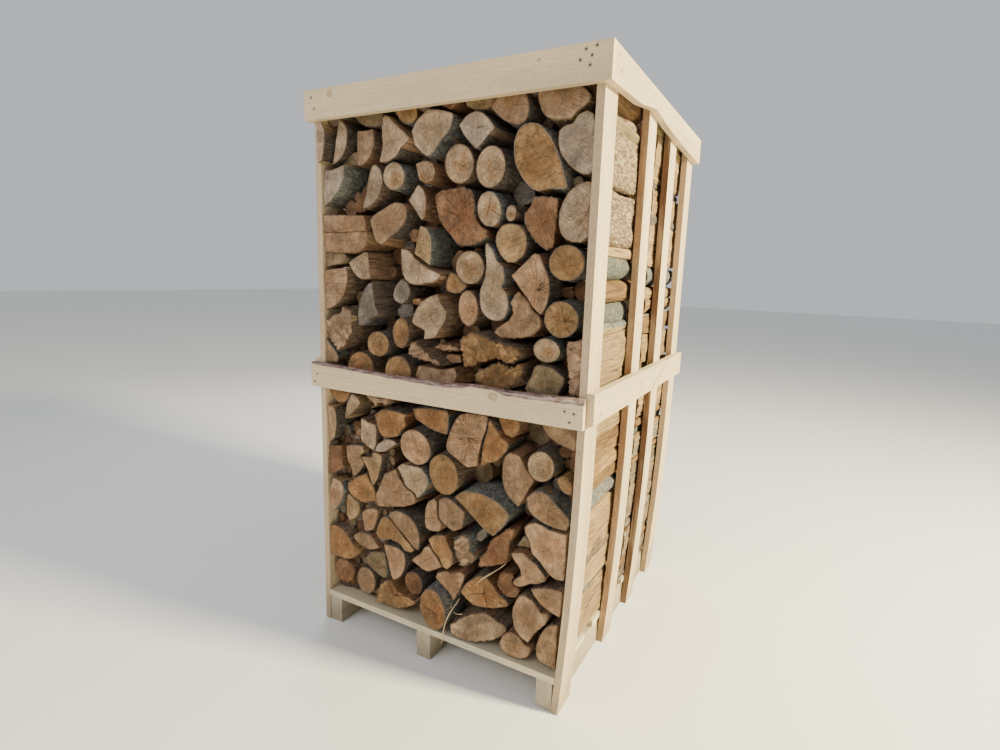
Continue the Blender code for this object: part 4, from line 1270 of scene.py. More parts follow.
    def relief(self, *layers: tuple[Socket, float]) -> Socket:
        """Relief that only shades, one layer over another.

        Args:
            layers: Each layer's height, from 0 to 1, and its depth in metres.

        Returns:
            The normal's socket.
        """
        normal = None
        for height, depth in layers:
            inputs = {"Height": height, "Distance": depth, "Strength": 1.0}
            if normal is not None:
                inputs["Normal"] = normal
            normal = self.node("Bump", inputs).outputs[0]
        return normal

    def finish(self, colour: Socket, normal: Socket, roughness: object,
               specular: float) -> bpy.types.Material:
        """Sets the shader.

        Args:
            colour: The surface's colour.
            normal: Its relief.
            roughness: Its roughness.
            specular: Its specular level.

        Returns:
            The finished material.
        """
        self.links.new(colour, self.shader.inputs["Base Color"])
        self.links.new(normal, self.shader.inputs["Normal"])
        if isinstance(roughness, Socket):
            self.links.new(roughness, self.shader.inputs["Roughness"])
        else:
            self.shader.inputs["Roughness"].default_value = roughness
        self.shader.inputs["Specular IOR Level"].default_value = specular
        return self.material


@dataclass(frozen=True)
class EndPlaces:
    """What the end grain's finish reads at a place of a sawn end."""

    x: Socket
    z: Socket
    away: Socket
    shift: Socket
    flat: Socket
    turned_x: Socket
    turned_z: Socket
    inset: Socket
    edge: Socket
    radius: Socket
    seed: Socket
    ragged: Socket
    cracky: Socket

    @classmethod
    def read(cls, tree: ShaderTree) -> "EndPlaces":
        """Reads the values that the mesh carries.

        Args:
            tree: The tree to build in.

        Returns:
            The places and values.
        """
        x, _along, z = tree.carried("wood")
        inset, radius, seed = tree.carried("traits")
        angle, ragged, _lichen = tree.carried("grit")
        _barky, edge, cracky = tree.carried("edge")
        shift = tree.times(seed, 40.0)
        away = tree.vector("LENGTH", tree.place(x, 0.0, z)).outputs["Value"]
        turned_x, turned_z = tree.turned(x, z, angle)
        return cls(x, z, away, shift, tree.place(x, shift, z), turned_x, turned_z,
                   inset, edge, radius, seed, ragged, cracky)

    def drawn(self, tree: ShaderTree, length: float, step: float = 0.0) -> Socket:
        """The place with its lines drawn out along the grain.

        Args:
            tree: The tree to build in.
            length: What the distance along the grain is multiplied by.
            step: A shift that gives a pattern of its own.

        Returns:
            The place.
        """
        shift = tree.maths("ADD", self.shift, step) if step else self.shift
        return tree.place(self.turned_x, shift, tree.times(self.turned_z, length))


@dataclass(frozen=True)
class EndGrain:
    """The sawn ends: year rings round the pith, rays and checks, saw marks, and bark at the rim."""

    ring_scale: float = 330.0
    ring_depth: float = 0.0005
    saw_depth: float = 0.0007
    rim_width: float = 0.0042
    # Colour of the dark dashes along the grain, and of the painted shade in torn hollows.
    dash_and_painted_hollow_shade: Colour = (0.10, 0.052, 0.028)
    speck_shade: Colour = (0.055, 0.032, 0.02)
    check_shade: Colour = (0.05, 0.026, 0.014)
    crack_shade: Colour = (0.045, 0.024, 0.013)
    dirt_shade: Colour = (0.09, 0.05, 0.03)
    cracks: tuple[Point, ...] = ((7.0, 0.95), (23.0, 0.7), (41.0, 0.5))

    def material(self) -> bpy.types.Material:
        """The finish as a material.

        Returns:
            The material.
        """
        tree = ShaderTree("sawn_end_grain")
        at = EndPlaces.read(tree)
        heart = tree.tint("heart_tint")
        blotch = tree.noise(at.flat, 21.0, 4.0, 0.55)
        mottle = tree.noise(at.flat, 75.0, 4.0, 0.6, 0.5)
        stroke = tree.noise(at.drawn(tree, 0.14), 210.0, 4.0, 0.62)
        fibre = tree.noise(at.drawn(tree, 0.14), 640.0, 3.0, 0.7)
        saw = self._saw(tree, at)
        check = self._check(tree, at)
        colour, rings = self._rings(tree, at, blotch, heart)
        colour = tree.tone(tree.tone(colour, blotch, 0.58, 1.40), mottle, 0.84, 1.14)
        # Painted light and shade: facets of the end made lighter or darker as if tilted to the light, most on
        # torn ends.
        bent = tree.bent(at.flat, 34.0, (0.024, 0.0, 0.024))
        facet = tree.node("TexVoronoi", {"Vector": bent, "Scale": 24.0})
        painted_facet_shading = tree.tone(colour, tree.parts(facet.outputs["Color"])[0], 0.72, 1.26)
        colour = tree.blend(tree.maths("MULTIPLY_ADD", at.ragged, 0.75, 0.22), colour, painted_facet_shading)
        colour = tree.tone(colour, stroke, 0.79, 1.20)
        colour = self._stains(tree, at, colour, tree.tone(heart, mottle, 0.45, 0.95))
        colour = tree.tone(colour, tree.times(saw, 0.77), 0.82, 1.13)
        colour = tree.tone(colour, fibre, 0.80, 1.16)
        colour = tree.blend(tree.times(check, 0.78), colour, self.check_shade)
        colour = tree.blend(tree.times(self._crack(tree, at), 0.82), colour, self.crack_shade)
        colour = self._rim(tree, at, colour, heart)
        # Painted shade: dark streaks in the hollows of torn ends.
        torn = tree.span(tree.noise(at.drawn(tree, 0.35), 62.0, 5.0, 0.7), 0.52, 0.41)
        colour = tree.blend(tree.times(at.ragged, torn, 0.66), colour, self.dash_and_painted_hollow_shade)
        relief = tree.relief((rings, self.ring_depth), (saw, self.saw_depth), (fibre, 0.0006),
                             (tree.times(tree.noise(at.flat, 95.0, 5.0, 0.7), at.ragged), 0.006),
                             (tree.times(stroke, tree.maths("ADD", at.ragged, 0.2)), 0.004),
                             (tree.maths("SUBTRACT", 1.0, check), 0.0016))
        return tree.finish(colour, relief, tree.span(blotch, 0.3, 0.7, 0.74, 0.92), 0.22)

    def _rings(self, tree: ShaderTree, at: EndPlaces, blotch: Socket,
               heart: Socket) -> tuple[Socket, Socket]:
        """The year rings round the pith, and the darker core.

        Args:
            tree: The tree to build in.
            at: What is read at each place.
            blotch: The broad noise.
            heart: The heartwood's colour.

        Returns:
            The wood's colour, and the rings by themselves.
        """
        warp = tree.maths("SUBTRACT", tree.noise(at.flat, 28.0, 2.0), 0.5)
        ring_at = tree.maths("ADD", tree.maths("MULTIPLY_ADD", warp, 0.012, at.away), at.shift)
        rings = tree.lines(ring_at, self.ring_scale)
        bands = tree.lines(ring_at, self.ring_scale * 0.22, 1.0)
        share = tree.maths("DIVIDE", tree.maths("MULTIPLY_ADD", warp, 0.05, at.away), at.radius)
        core = tree.times(tree.span(share, 0.62, 0.28), tree.span(blotch, 0.36, 0.54), 0.95)
        colour = tree.blend(core, tree.tint("end_tint"), heart)
        ringed = tree.tone(tree.tone(colour, rings, 0.74, 1.18), bands, 0.84, 1.10)
        return tree.blend(tree.carried("marks")[0], colour, ringed), rings

    def _stains(self, tree: ShaderTree, at: EndPlaces, colour: Socket, stain_shade: Socket) -> Socket:
        """Dark dashes along the grain, stains and specks.

        Args:
            tree: The tree to build in.
            at: What is read at each place.
            colour: The wood's colour.
            stain_shade: The stains' colour.

        Returns:
            The colour with them on it.
        """
        _ringed, stained, specked = tree.carried("marks")
        dash = tree.span(tree.noise(at.drawn(tree, 0.32, 3.0), 92.0, 4.0, 0.7), 0.60, 0.68)
        dash = tree.times(dash, tree.span(tree.noise(at.flat, 15.0, 2.0), 0.44, 0.58), 0.62)
        colour = tree.blend(dash, colour, self.dash_and_painted_hollow_shade)
        stain = tree.span(tree.noise(at.flat, 19.0, 4.0, 0.6, 0.8), 0.50, 0.66)
        colour = tree.blend(tree.times(stain, stained, 0.75), colour, stain_shade)
        speck = tree.span(tree.noise(at.flat, 190.0, 3.0, 0.6), 0.62, 0.68)
        return tree.blend(tree.times(speck, specked, 0.85), colour, self.speck_shade)

    @staticmethod
    def _saw(tree: ShaderTree, at: EndPlaces) -> Socket:
        """The saw's marks across the grain.

        Args:
            tree: The tree to build in.
            at: What is read at each place.

        Returns:
            Their height.
        """
        along = tree.maths("MULTIPLY_ADD", tree.noise(at.flat, 9.0, 1.0), 0.02, at.turned_x)
        across = tree.place(tree.times(at.turned_x, 9.0), at.shift, at.turned_z)
        return tree.maths("MULTIPLY_ADD", tree.noise(across, 60.0, 3.0), 0.6, tree.lines(along, 210.0))

    @staticmethod
    def _check(tree: ShaderTree, at: EndPlaces) -> Socket:
        """The fine checks that run out from the pith.

        Args:
            tree: The tree to build in.
            at: What is read at each place.

        Returns:
            Their share at each place.
        """
        around = tree.vector("NORMALIZE", tree.place(at.x, 0.0, at.z)).outputs[0]
        outward = tree.place(at.shift, tree.times(at.away, 9.0), 0.0)
        ray_at = tree.vector("MULTIPLY_ADD", around, (5.0, 5.0, 5.0), outward).outputs[0]
        ray = tree.maths("ABSOLUTE", tree.maths("SUBTRACT", tree.noise(ray_at, 1.7, 3.0, 0.6), 0.5))
        check = tree.span(ray, tree.times(at.cracky, 0.020), 0.0)
        return tree.times(check, tree.span(tree.noise(at.flat, 20.0, 1.0), 0.40, 0.50))

    def _crack(self, tree: ShaderTree, at: EndPlaces) -> Socket:
        """The open cracks that run out from the pith, each its own way.

        Args:
            tree: The tree to build in.
            at: What is read at each place.

        Returns:
            Their share at each place.
        """
        wobble = tree.maths("SUBTRACT", tree.noise(at.flat, 52.0, 4.0, 0.7), 0.5)
        wobble = tree.times(wobble, 0.016)
        crack = 0.0
        for spin, reach in self.cracks:
            down, over = tree.turned(at.x, at.z, tree.times(at.seed, spin))
            line = tree.maths("ABSOLUTE", tree.maths("SUBTRACT", wobble, over))
            far = tree.maths("DIVIDE", down, tree.times(at.radius, reach))
            gape = tree.times(at.cracky, tree.span(far, 1.0, 0.1, 0.0, 0.0021))
            opened = tree.times(tree.maths("LESS_THAN", line, gape), tree.maths("GREATER_THAN", down, 0.0))
            crack = tree.maths("MAXIMUM", crack, opened)
        return crack

    def _rim(self, tree: ShaderTree, at: EndPlaces, colour: Socket, heart: Socket) -> Socket:
        """The ring of bark at the rim, the darker wood under it, and dirt at the very edge.

        Args:
            tree: The tree to build in.
            at: What is read at each place.
            colour: The wood's colour.
            heart: The heartwood's colour.

        Returns:
            The colour with them on it.
        """
        frayed = tree.noise(at.flat, 260.0, 3.0, 0.65)
        rim_at = tree.uneven(frayed, 0.007, at.inset)
        under_bark = tree.span(rim_at, self.rim_width * 2.1, self.rim_width)
        colour = tree.blend(tree.times(under_bark, 0.35), colour, heart)
        bark = tree.blend(tree.span(frayed, 0.45, 0.65, 0.05, 0.45), tree.tint("furrow_tint"),
                          tree.tint("bark_tint"))
        colour = tree.blend(tree.span(rim_at, self.rim_width, self.rim_width * 0.55), colour, bark)
        dirt = tree.span(tree.uneven(frayed, 0.006, at.edge), 0.0032, 0.0002)
        return tree.blend(tree.times(dirt, 0.50), colour, self.dirt_shade)


@dataclass(frozen=True)
class LogSide:
    """The logs' sides: bark with furrows and lichen, and split faces with long torn fibres."""

    fibre_depth: float = 0.0022
    bark_share: float = 1.1
    # Colour of the painted shadow between the fibres of split faces.
    painted_gap_shadow: Colour = (0.07, 0.04, 0.022)
    lichen_dark: Colour = (0.20, 0.22, 0.18)
    lichen_pale: Colour = (0.36, 0.37, 0.32)

    def material(self) -> bpy.types.Material:
        """The finish as a material.

        Returns:
            The material.
        """
        tree = ShaderTree("log_side")
        wood = tree.attribute("wood").outputs["Vector"]
        split, split_relief = self._split_face(tree, wood)
        bark, bark_relief = self._bark(tree, wood, tree.carried("grit")[2])
        rough = tree.noise(tree.stretched(wood, (1.0, 0.3, 1.0)), 70.0, 4.0)
        here = tree.span(tree.uneven(rough, 0.9, tree.carried("edge")[0]), 0.42, 0.58)
        gone = tree.span(tree.noise(tree.stretched(wood, (1.0, 0.35, 1.0)), 17.0, 3.0), 0.63, 0.68)
        here = tree.times(here, tree.maths("MULTIPLY_ADD", gone, -0.85, 1.0))
        split_part = tree.times(split_relief, tree.maths("SUBTRACT", 1.0, here))
        bark_part = tree.times(tree.maths("MULTIPLY_ADD", bark_relief, self.bark_share, 0.5), here)
        relief = tree.relief((tree.maths("ADD", split_part, bark_part), self.fibre_depth))
        return tree.finish(tree.blend(here, split, bark), relief, 0.86, 0.2)

    def _split_face(self, tree: ShaderTree,
                    wood: Socket) -> tuple[Socket, Socket]:
        """Torn wood with long fibres.

        Args:
            tree: The tree to build in.
            wood: The place in the wood.

        Returns:
            Its colour and its relief.
        """
        bent = tree.bent(wood, 5.0, (0.012, 0.0, 0.012))
        streak = tree.noise(tree.stretched(bent, (1.0, 0.035, 1.0)), 150.0, 4.0, 0.62)
        fine = tree.noise(tree.stretched(bent, (1.0, 0.02, 1.0)), 560.0, 3.0, 0.7)
        broad = tree.noise(tree.stretched(wood, (1.0, 0.25, 1.0)), 21.0, 4.0)
        colour = tree.blend(tree.span(broad, 0.48, 0.68, 0.0, 0.65), tree.tint("split_tint"),
                            tree.tint("heart_tint"))
        colour = tree.tone(tree.tone(colour, streak, 0.40, 1.34), fine, 0.66, 1.22)
        # Painted shadow in the gaps between the torn fibres.
        colour = tree.blend(tree.times(tree.span(streak, 0.43, 0.32), 0.65), colour, self.painted_gap_shadow)
        relief = tree.maths("MULTIPLY_ADD", fine, 0.35, tree.maths("MULTIPLY_ADD", broad, 1.2, streak))
        return colour, relief

    def _bark(self, tree: ShaderTree, wood: Socket,
              lichen: Socket) -> tuple[Socket, Socket]:
        """Furrowed bark with lichen on it.

        Args:
            tree: The tree to build in.
            wood: The place in the wood.
            lichen: How much lichen there is.

        Returns:
            Its colour and its relief.
        """
        drawn = tree.stretched(wood, (1.0, 0.28, 1.0))
        rippled = tree.bent(wood, 60.0, (0.014, 0.014, 0.014), drawn)
        plates = tree.node("TexVoronoi", {"Vector": rippled, "Scale": 80.0, "Randomness": 1.0},
                           feature="DISTANCE_TO_EDGE").outputs[0]
        ridged = tree.noise(drawn, 105.0, 5.0, 0.62, 0.6)
        grain = tree.noise(wood, 420.0, 4.0, 0.7)
        raised = tree.times(tree.span(plates, 0.0, 0.16, 0.35, 1.0), tree.span(ridged, 0.30, 0.66))
        colour = tree.blend(raised, tree.tint("furrow_tint"), tree.tint("bark_tint"))
        colour = tree.tone(colour, grain, 0.50, 1.28)
        patch = tree.noise(wood, 38.0, 5.0, 0.68)
        limit = tree.span(lichen, 0.0, 1.0, 0.70, 0.47, smooth=False)
        cover = tree.span(patch, limit, tree.maths("ADD", limit, 0.035))
        pale = tree.blend(tree.span(grain, 0.4, 0.6), self.lichen_dark, self.lichen_pale)
        colour = tree.blend(tree.times(cover, 0.55), colour, pale)
        return colour, tree.maths("MULTIPLY_ADD", grain, 0.25, raised)


@dataclass(frozen=True)
class Knot:
    """A knot in a board: its place along and across the board, and its radius."""

    along: float
    across: float
    radius: float


@dataclass(frozen=True)
class BoardPlaces:
    """What a board's finish reads at a place of the board."""

    along: Socket
    across: Socket
    depth: Socket
    up: Socket
    seeded: Socket
    drawn: Socket


@dataclass(frozen=True)
class SawnBoard:
    """Rough-sawn softwood: grain along the board, knots, saw marks and weathering."""

    name: str
    axis: int
    across: int
    seed: float
    tint: Colour = (0.66, 0.53, 0.37)
    knots: tuple[Knot, ...] = ()
    grey: float = 0.35
    dirt_below: float = 0.0
    nails: tuple[Point, ...] = ()
    waney: bool = False
    front_bark_and_shade_tint: Colour | None = None
    crack: tuple[Point, Point] | None = None
    mark_shade: Colour = (0.17, 0.11, 0.07)
    knot_dark: Colour = (0.24, 0.13, 0.065)
    knot_pale: Colour = (0.42, 0.27, 0.15)
    dirt_shade: Colour = (0.20, 0.155, 0.105)
    crack_shade: Colour = (0.03, 0.02, 0.014)
    rust_shade: Colour = (0.20, 0.125, 0.07)
    nail_shade: Colour = (0.045, 0.035, 0.03)
    wane_shades: tuple[Colour, ...] = ((0.13, 0.075, 0.06), (0.36, 0.25, 0.215), (0.47, 0.36, 0.30))

    def material(self) -> bpy.types.Material:
        """The finish as a material.

        Returns:
            The material.
        """
        tree = ShaderTree(self.name)
        at = self._places(tree)
        bent, knot_face = self._grain(tree, at)
        ring_x = tree.maths("ADD", tree.maths("ADD", at.across, bent), 0.03 * math.sin(self.seed * 9))
        ring_at = tree.place(ring_x, tree.maths("ADD", at.depth, 0.05), 0.0)
        ring = tree.vector("LENGTH", ring_at).outputs["Value"]
        rings = tree.lines(tree.maths("ADD", ring, self.seed), 210.0)
        pores = tree.noise(at.drawn, 520.0, 3.0, 0.65)
        fleck = tree.noise(at.seeded, 300.0, 4.0, 0.7)
        broad = tree.noise(at.drawn, 9.0, 4.0, 0.6)
        worn = tree.span(tree.noise(at.seeded, 4.5, 5.0, 0.62), 0.42, 0.66)
        saw = tree.lines(tree.maths("MULTIPLY_ADD", at.across, 0.12, at.along), 240.0)
        saw = tree.uneven(fleck, 0.35, saw)
        late = shaded(self.tint, (0.72, 0.62, 0.52))
        colour = tree.blend(tree.span(rings, 0.46, 0.70, 0.0, 0.50), self.tint, late)
        colour = tree.tone(tree.tone(colour, pores, 0.86, 1.10), broad, 0.84, 1.13)
        grey = shaded(self.tint, (0.66, 0.72, 0.80))
        colour = tree.blend(tree.times(worn, self.grey), colour, grey)
        colour = tree.tone(tree.tone(colour, saw, 0.93, 1.05), fleck, 0.90, 1.07)
        mark = tree.span(tree.noise(at.drawn, 60.0, 4.0, 0.7), 0.66, 0.74)
        colour = tree.blend(tree.times(mark, 0.45), colour, self.mark_shade)
        if knot_face is not None:
            dark = tree.blend(tree.span(fleck, 0.35, 0.65), self.knot_dark, self.knot_pale)
            colour = tree.blend(tree.times(knot_face, 0.8), colour, dark)
        for nail in self.nails:
            colour = self._nail(tree, nail, at, colour)
        if self.waney:
            colour = self._wane(tree, at, fleck, colour)
        # Faces that look to the front are darkened: partly bark on rough edges, partly painted shade on the
        # side away from the light.
        if self.front_bark_and_shade_tint:
            front = tree.parts(tree.node("NewGeometry").outputs["Normal"])[1]
            patch = tree.noise(at.drawn, 30.0, 4.0, 0.6)
            front = tree.times(tree.span(front, -0.6, -0.9), tree.span(patch, 0.36, 0.56, 0.45, 0.95))
            colour = tree.blend(front, colour, tree.tone((*self.front_bark_and_shade_tint, 1.0), pores, 0.6, 1.25))
        if self.crack:
            colour = self._crack(tree, at, colour)
        if self.dirt_below > 0:
            low = tree.span(tree.uneven(worn, 0.10, at.up), self.dirt_below, 0.0)
            colour = tree.blend(tree.times(low, 0.45), colour, self.dirt_shade)
        relief = tree.relief((saw, 0.0005), (rings, 0.0004), (pores, 0.0004), (fleck, 0.0006))
        return tree.finish(colour, relief, tree.span(broad, 0.3, 0.7, 0.70, 0.88), 0.25)

    def _places(self, tree: ShaderTree) -> BoardPlaces:
        """Finds what the finish reads at each place.

        Args:
            tree: The tree to build in.

        Returns:
            The places.
        """
        place = tree.node("TexCoord").outputs["Object"]
        spot = tree.parts(place)
        shift = (self.seed * 3.1, self.seed * 1.7, self.seed * 2.3)
        seeded = tree.vector("ADD", place, shift).outputs[0]
        drawn = tree.stretched(seeded, tuple(0.09 if k == self.axis else 1.0 for k in range(3)))
        return BoardPlaces(spot[self.axis], spot[self.across], spot[3 - self.axis - self.across],
                           spot[2], seeded, drawn)

    def _grain(self, tree: ShaderTree, at: BoardPlaces) -> tuple[Socket, Socket | None]:
        """How the grain bends, round the knots too.

        Args:
            tree: The tree to build in.
            at: What is read at each place.

        Returns:
            How far it is pushed across the board, and the knots' dark faces if there are knots.
        """
        bent = tree.times(tree.maths("SUBTRACT", tree.noise(at.drawn, 11.0, 2.0), 0.5), 0.05)
        knot_face = None
        for knot in self.knots:
            near, disc = self._knot(tree, knot, at)
            bent = tree.maths("MULTIPLY_ADD", near, 0.016, bent)
            knot_face = disc if knot_face is None else tree.maths("MAXIMUM", knot_face, disc)
        return bent, knot_face

    def _crack(self, tree: ShaderTree, at: BoardPlaces, colour: Socket) -> Socket:
        """A dark split across the board, from one place to another.

        Args:
            tree: The tree to build in.
            at: What is read at each place.
            colour: The board's colour.

        Returns:
            The colour with the split.
        """
        (from_along, from_across), (to_along, to_across) = self.crack
        slope = (to_along - from_along) / (to_across - from_across)
        line = tree.times(tree.maths("SUBTRACT", at.across, from_across), slope)
        line = tree.maths("ADD", line, from_along)
        rough = tree.maths("SUBTRACT", tree.noise(at.seeded, 38.0, 4.0, 0.65), 0.5)
        off = tree.maths("ADD", tree.maths("SUBTRACT", at.along, line), tree.times(rough, 0.05))
        share = tree.span(tree.maths("ABSOLUTE", off), 0.008, 0.0028, 0.0, 0.95)
        return tree.blend(share, colour, self.crack_shade)

    def _nail(self, tree: ShaderTree, nail: Point, at: BoardPlaces, colour: Socket) -> Socket:
        """A sunk nail: its dark head in a bruised, rust-stained hollow.

        Args:
            tree: The tree to build in.
            nail: Its place along and across the board.
            at: What is read at each place.
            colour: The board's colour.

        Returns:
            The colour with the nail in it.
        """
        away = tree.place(tree.maths("SUBTRACT", at.along, nail[0]),
                          tree.maths("SUBTRACT", at.across, nail[1]), 0.0)
        far = tree.uneven(tree.noise(away, 260.0, 2.0), 0.004,
                          tree.vector("LENGTH", away).outputs["Value"])
        halo = tree.blend(tree.span(far, 0.0085, 0.0035, 0.0, 0.55), colour, self.rust_shade)
        return tree.blend(tree.span(far, 0.0036, 0.0026), halo, self.nail_shade)

    def _wane(self, tree: ShaderTree, at: BoardPlaces, fleck: Socket, colour: Socket) -> Socket:
        """Thin bark left along a waney edge, where the mesh says so.

        Args:
            tree: The tree to build in.
            at: What is read at each place.
            fleck: Fine noise.
            colour: The board's colour.

        Returns:
            The colour with the bark on it.
        """
        drawn = tree.stretched(at.seeded, (0.25, 1.0, 1.0))
        layers = tree.noise(drawn, 150.0, 5.0, 0.7, 0.4)
        dark, middle, pale = self.wane_shades
        bark = tree.blend(tree.span(layers, 0.38, 0.60), dark, middle)
        bark = tree.blend(tree.span(tree.noise(drawn, 60.0, 4.0, 0.6), 0.55, 0.64), bark, pale)
        bark = tree.tone(bark, fleck, 0.70, 1.25)
        share = tree.uneven(tree.noise(drawn, 90.0, 4.0, 0.65), 0.9,
                            tree.attribute("barky").outputs["Fac"])
        return tree.blend(tree.span(share, 0.42, 0.56), colour, bark)

    @staticmethod
    def _knot(tree: ShaderTree, knot: Knot, at: BoardPlaces) -> tuple[Socket, Socket]:
        """One knot's pull on the grain, and its own dark face.

        Args:
            tree: The tree to build in.
            knot: The knot.
            at: What is read at each place.

        Returns:
            How near the knot is, and the share of its dark face.
        """
        away = tree.place(tree.times(tree.maths("SUBTRACT", at.along, knot.along), 0.75),
                          tree.maths("SUBTRACT", at.across, knot.across), 0.0)
        far = tree.uneven(tree.noise(away, 130.0, 3.0), knot.radius * 0.8,
                          tree.vector("LENGTH", away).outputs["Value"])
        near = tree.span(far, knot.radius * 3.4, knot.radius * 0.5)
        disc = tree.span(far, knot.radius, knot.radius * 0.82)
        middle = tree.span(far, knot.radius * 0.72, knot.radius * 0.5, 0.0, 0.45)
        return near, tree.maths("SUBTRACT", disc, middle)


@dataclass(frozen=True)
class PlainFinish:
    """A small piece's finish: a tint with uneven tone and fine relief."""

    name: str
    tint: Colour
    second: Colour
    scale: float = 120.0
    stretch: Place = (1.0, 1.0, 1.0)
    roughness: float = 0.8

    def material(self) -> bpy.types.Material:
        """The finish as a material.

        Returns:
            The material.
        """
        tree = ShaderTree(self.name)
        place = tree.stretched(tree.node("TexCoord").outputs["Object"], self.stretch)
        patch = tree.noise(place, self.scale, 5.0, 0.66)
        fine = tree.noise(place, self.scale * 6, 3.0, 0.7)
        colour = tree.blend(tree.span(patch, 0.40, 0.62), self.tint, self.second)
        colour = tree.tone(colour, fine, 0.75, 1.2)
        return tree.finish(colour, tree.relief((patch, 0.0012), (fine, 0.0005)), self.roughness, 0.3)


@dataclass
class GapSticks:
    """Small split sticks that fill the gaps of a row, set back behind its log ends."""

    rims: list[Rim]
    row: Row
    step: float = 0.003
    top: float = 2.070
    least_radius: float = 0.0070
    most_radius: float = 0.040
    hidden_above: float = 1.982
    last_before_side: float = 0.44
    left_part: float = -0.25
    first_number: int = 200
    most_sticks: int = 260
    most_deep_sticks: int = 420
    side_margin: float = 0.003
    deep_radius: float = 0.021
    deep_reach: float = 0.020
    side_radius: float = 0.012
    side_reach: float = 0.021

    def __post_init__(self) -> None:
        """Finds the free places between the log ends."""
        self.chance = random.Random(5 if self.row is Row.FRONT else 6)
        across = numpy.arange(-INNER + 0.002, INNER, self.step)
        up = numpy.arange(DECK_TOP + 0.002, self.top, self.step)
        self.grid_x, self.grid_z = numpy.meshgrid(across, up)
        limit = numpy.array([INNER - bow(float(z)) - 0.002 for z in up])
        self.free = self.grid_x < limit[:, None]
        for rim in self.rims:
            self._take(rim)
        self.open = self.free.copy()
        for _step in range(2):
            self.open[1:] |= self.open[:-1]
            self.open[:-1] |= self.open[1:]
            self.open[:, 1:] |= self.open[:, :-1]
            self.open[:, :-1] |= self.open[:, 1:]
        self.open &= (self.grid_x < self.left_part) | self.free

    def _take(self, rim: Rim) -> None:
        """Marks the places inside a rim as taken.

        Args:
            rim: The rim.
        """
        inside = numpy.zeros(self.free.shape, bool)
        places = [p.place for p in rim.points]
        for a, b in zip(places, places[1:] + places[:1]):
            if a.y == b.y:
                continue
            between = (self.grid_z > min(a.y, b.y)) & (self.grid_z <= max(a.y, b.y))
            left = self.grid_x < (b.x - a.x) * (self.grid_z - a.y) / (b.y - a.y) + a.x
            inside ^= between & left
        self.free &= ~inside

    def _depths(self) -> numpy.ndarray:
        """How deep each place lies in its gap.

        Returns:
            For each place, how many steps it is from the nearest taken one.
        """
        depth = numpy.zeros(self.free.shape, int)
        rest = numpy.pad(self.free, 1)
        for turn in range(1, int(self.most_radius / self.step) + 2):
            depth[rest[1:-1, 1:-1]] = turn
            ways = [rest[:-2, 1:-1], rest[2:, 1:-1], rest[1:-1, :-2], rest[1:-1, 2:]]
            if turn % 2:
                ways += [rest[:-2, :-2], rest[:-2, 2:], rest[2:, :-2], rest[2:, 2:]]
            smaller = rest[1:-1, 1:-1].copy()
            for way in ways:
                smaller &= way
            rest = numpy.pad(smaller, 1)
            if not smaller.any():
                break
        return depth

    def specs(self) -> list[LogSpec]:
        """The sticks, the thickest first.

        Returns:
            Their descriptions.
        """
        found: list[LogSpec] = []
        while True:
            depth = self._depths()
            spot = int(depth.argmax())
            radius = depth.flat[spot] * self.step
            if radius < self.least_radius or len(found) > self.most_sticks:
                return found + self._deep_sticks(len(found))
            x = float(self.grid_x.flat[spot])
            z = float(self.grid_z.flat[spot])
            found.append(self._stick(len(found), x, z, radius))
            near = (self.grid_x - x) ** 2 + (self.grid_z - z) ** 2 < (radius * 1.1) ** 2
            self.free &= ~near
            self.open &= (self.grid_x - x) ** 2 + (self.grid_z - z) ** 2 > (radius * 0.8) ** 2

    def _deep_sticks(self, count: int) -> list[LogSpec]:
        """Sticks behind the last slits near the sides, so that no light shows through them.

        Args:
            count: How many sticks there are already.

        Returns:
            Their descriptions.
        """
        found: list[LogSpec] = []
        slits = self.open & (numpy.abs(self.grid_x) > -self.left_part)
        if self.row is Row.FRONT:
            slits &= self.grid_x <= self.last_before_side
        while slits.any() and len(found) < self.most_deep_sticks:
            spot = int(slits.argmax())
            x = float(self.grid_x.flat[spot])
            z = float(self.grid_z.flat[spot])
            beside = x > self.last_before_side
            radius = self.side_radius if beside else self.deep_radius
            reach = self.side_reach if beside else self.deep_reach
            found.append(self._stick(count + len(found), x, z, radius, not beside))
            slits &= (self.grid_x - x) ** 2 + (self.grid_z - z) ** 2 > reach ** 2
        return found

    def _stick(self, count: int, x: float, z: float, radius: float, deep: bool = False) -> LogSpec:
        """One stick.

        Args:
            count: How many sticks there are already.
            x: Its place across the row.
            z: Its height.
            radius: How much room there is round it.
            deep: Whether it lies behind the other sticks.

        Returns:
            Its description.
        """
        sides = self.chance.choice((5, 6, 7, 8))
        first = self.chance.uniform(0, 1)
        corners = []
        for k in range(sides):
            turn = 2 * math.pi * (k + first + self.chance.uniform(-0.2, 0.2)) / sides
            reach = radius * self.chance.uniform(0.95, 1.25)
            across = x + reach * math.cos(turn)
            across = min(INNER - bow(z) - self.side_margin, max(-INNER + self.side_margin, across))
            up = min(self.top + 0.006, max(DECK_TOP + self.side_margin, z + reach * math.sin(turn)))
            corners.append((across, up))
        # Mostly the darker kinds, as painted shade in the gaps between the log ends.
        kind = self.chance.choice((Kind.BROWN, Kind.OLIVE, Kind.BROWN, Kind.GREY, Kind.TAN))
        setback = self.chance.uniform(45, 80) if abs(x) > SIDE_STICKS else self.chance.uniform(85, 160)
        if z > self.hidden_above:
            setback = self.chance.uniform(2, 14)
        if deep:
            setback = self.chance.uniform(24, 44) if x < self.left_part else self.chance.uniform(190, 260)
        if self.row is Row.REAR and x > SIDE_STICKS:
            setback = self.chance.uniform(4, 18)
        return LogSpec(self.first_number + count, kind, setback, corners, False)


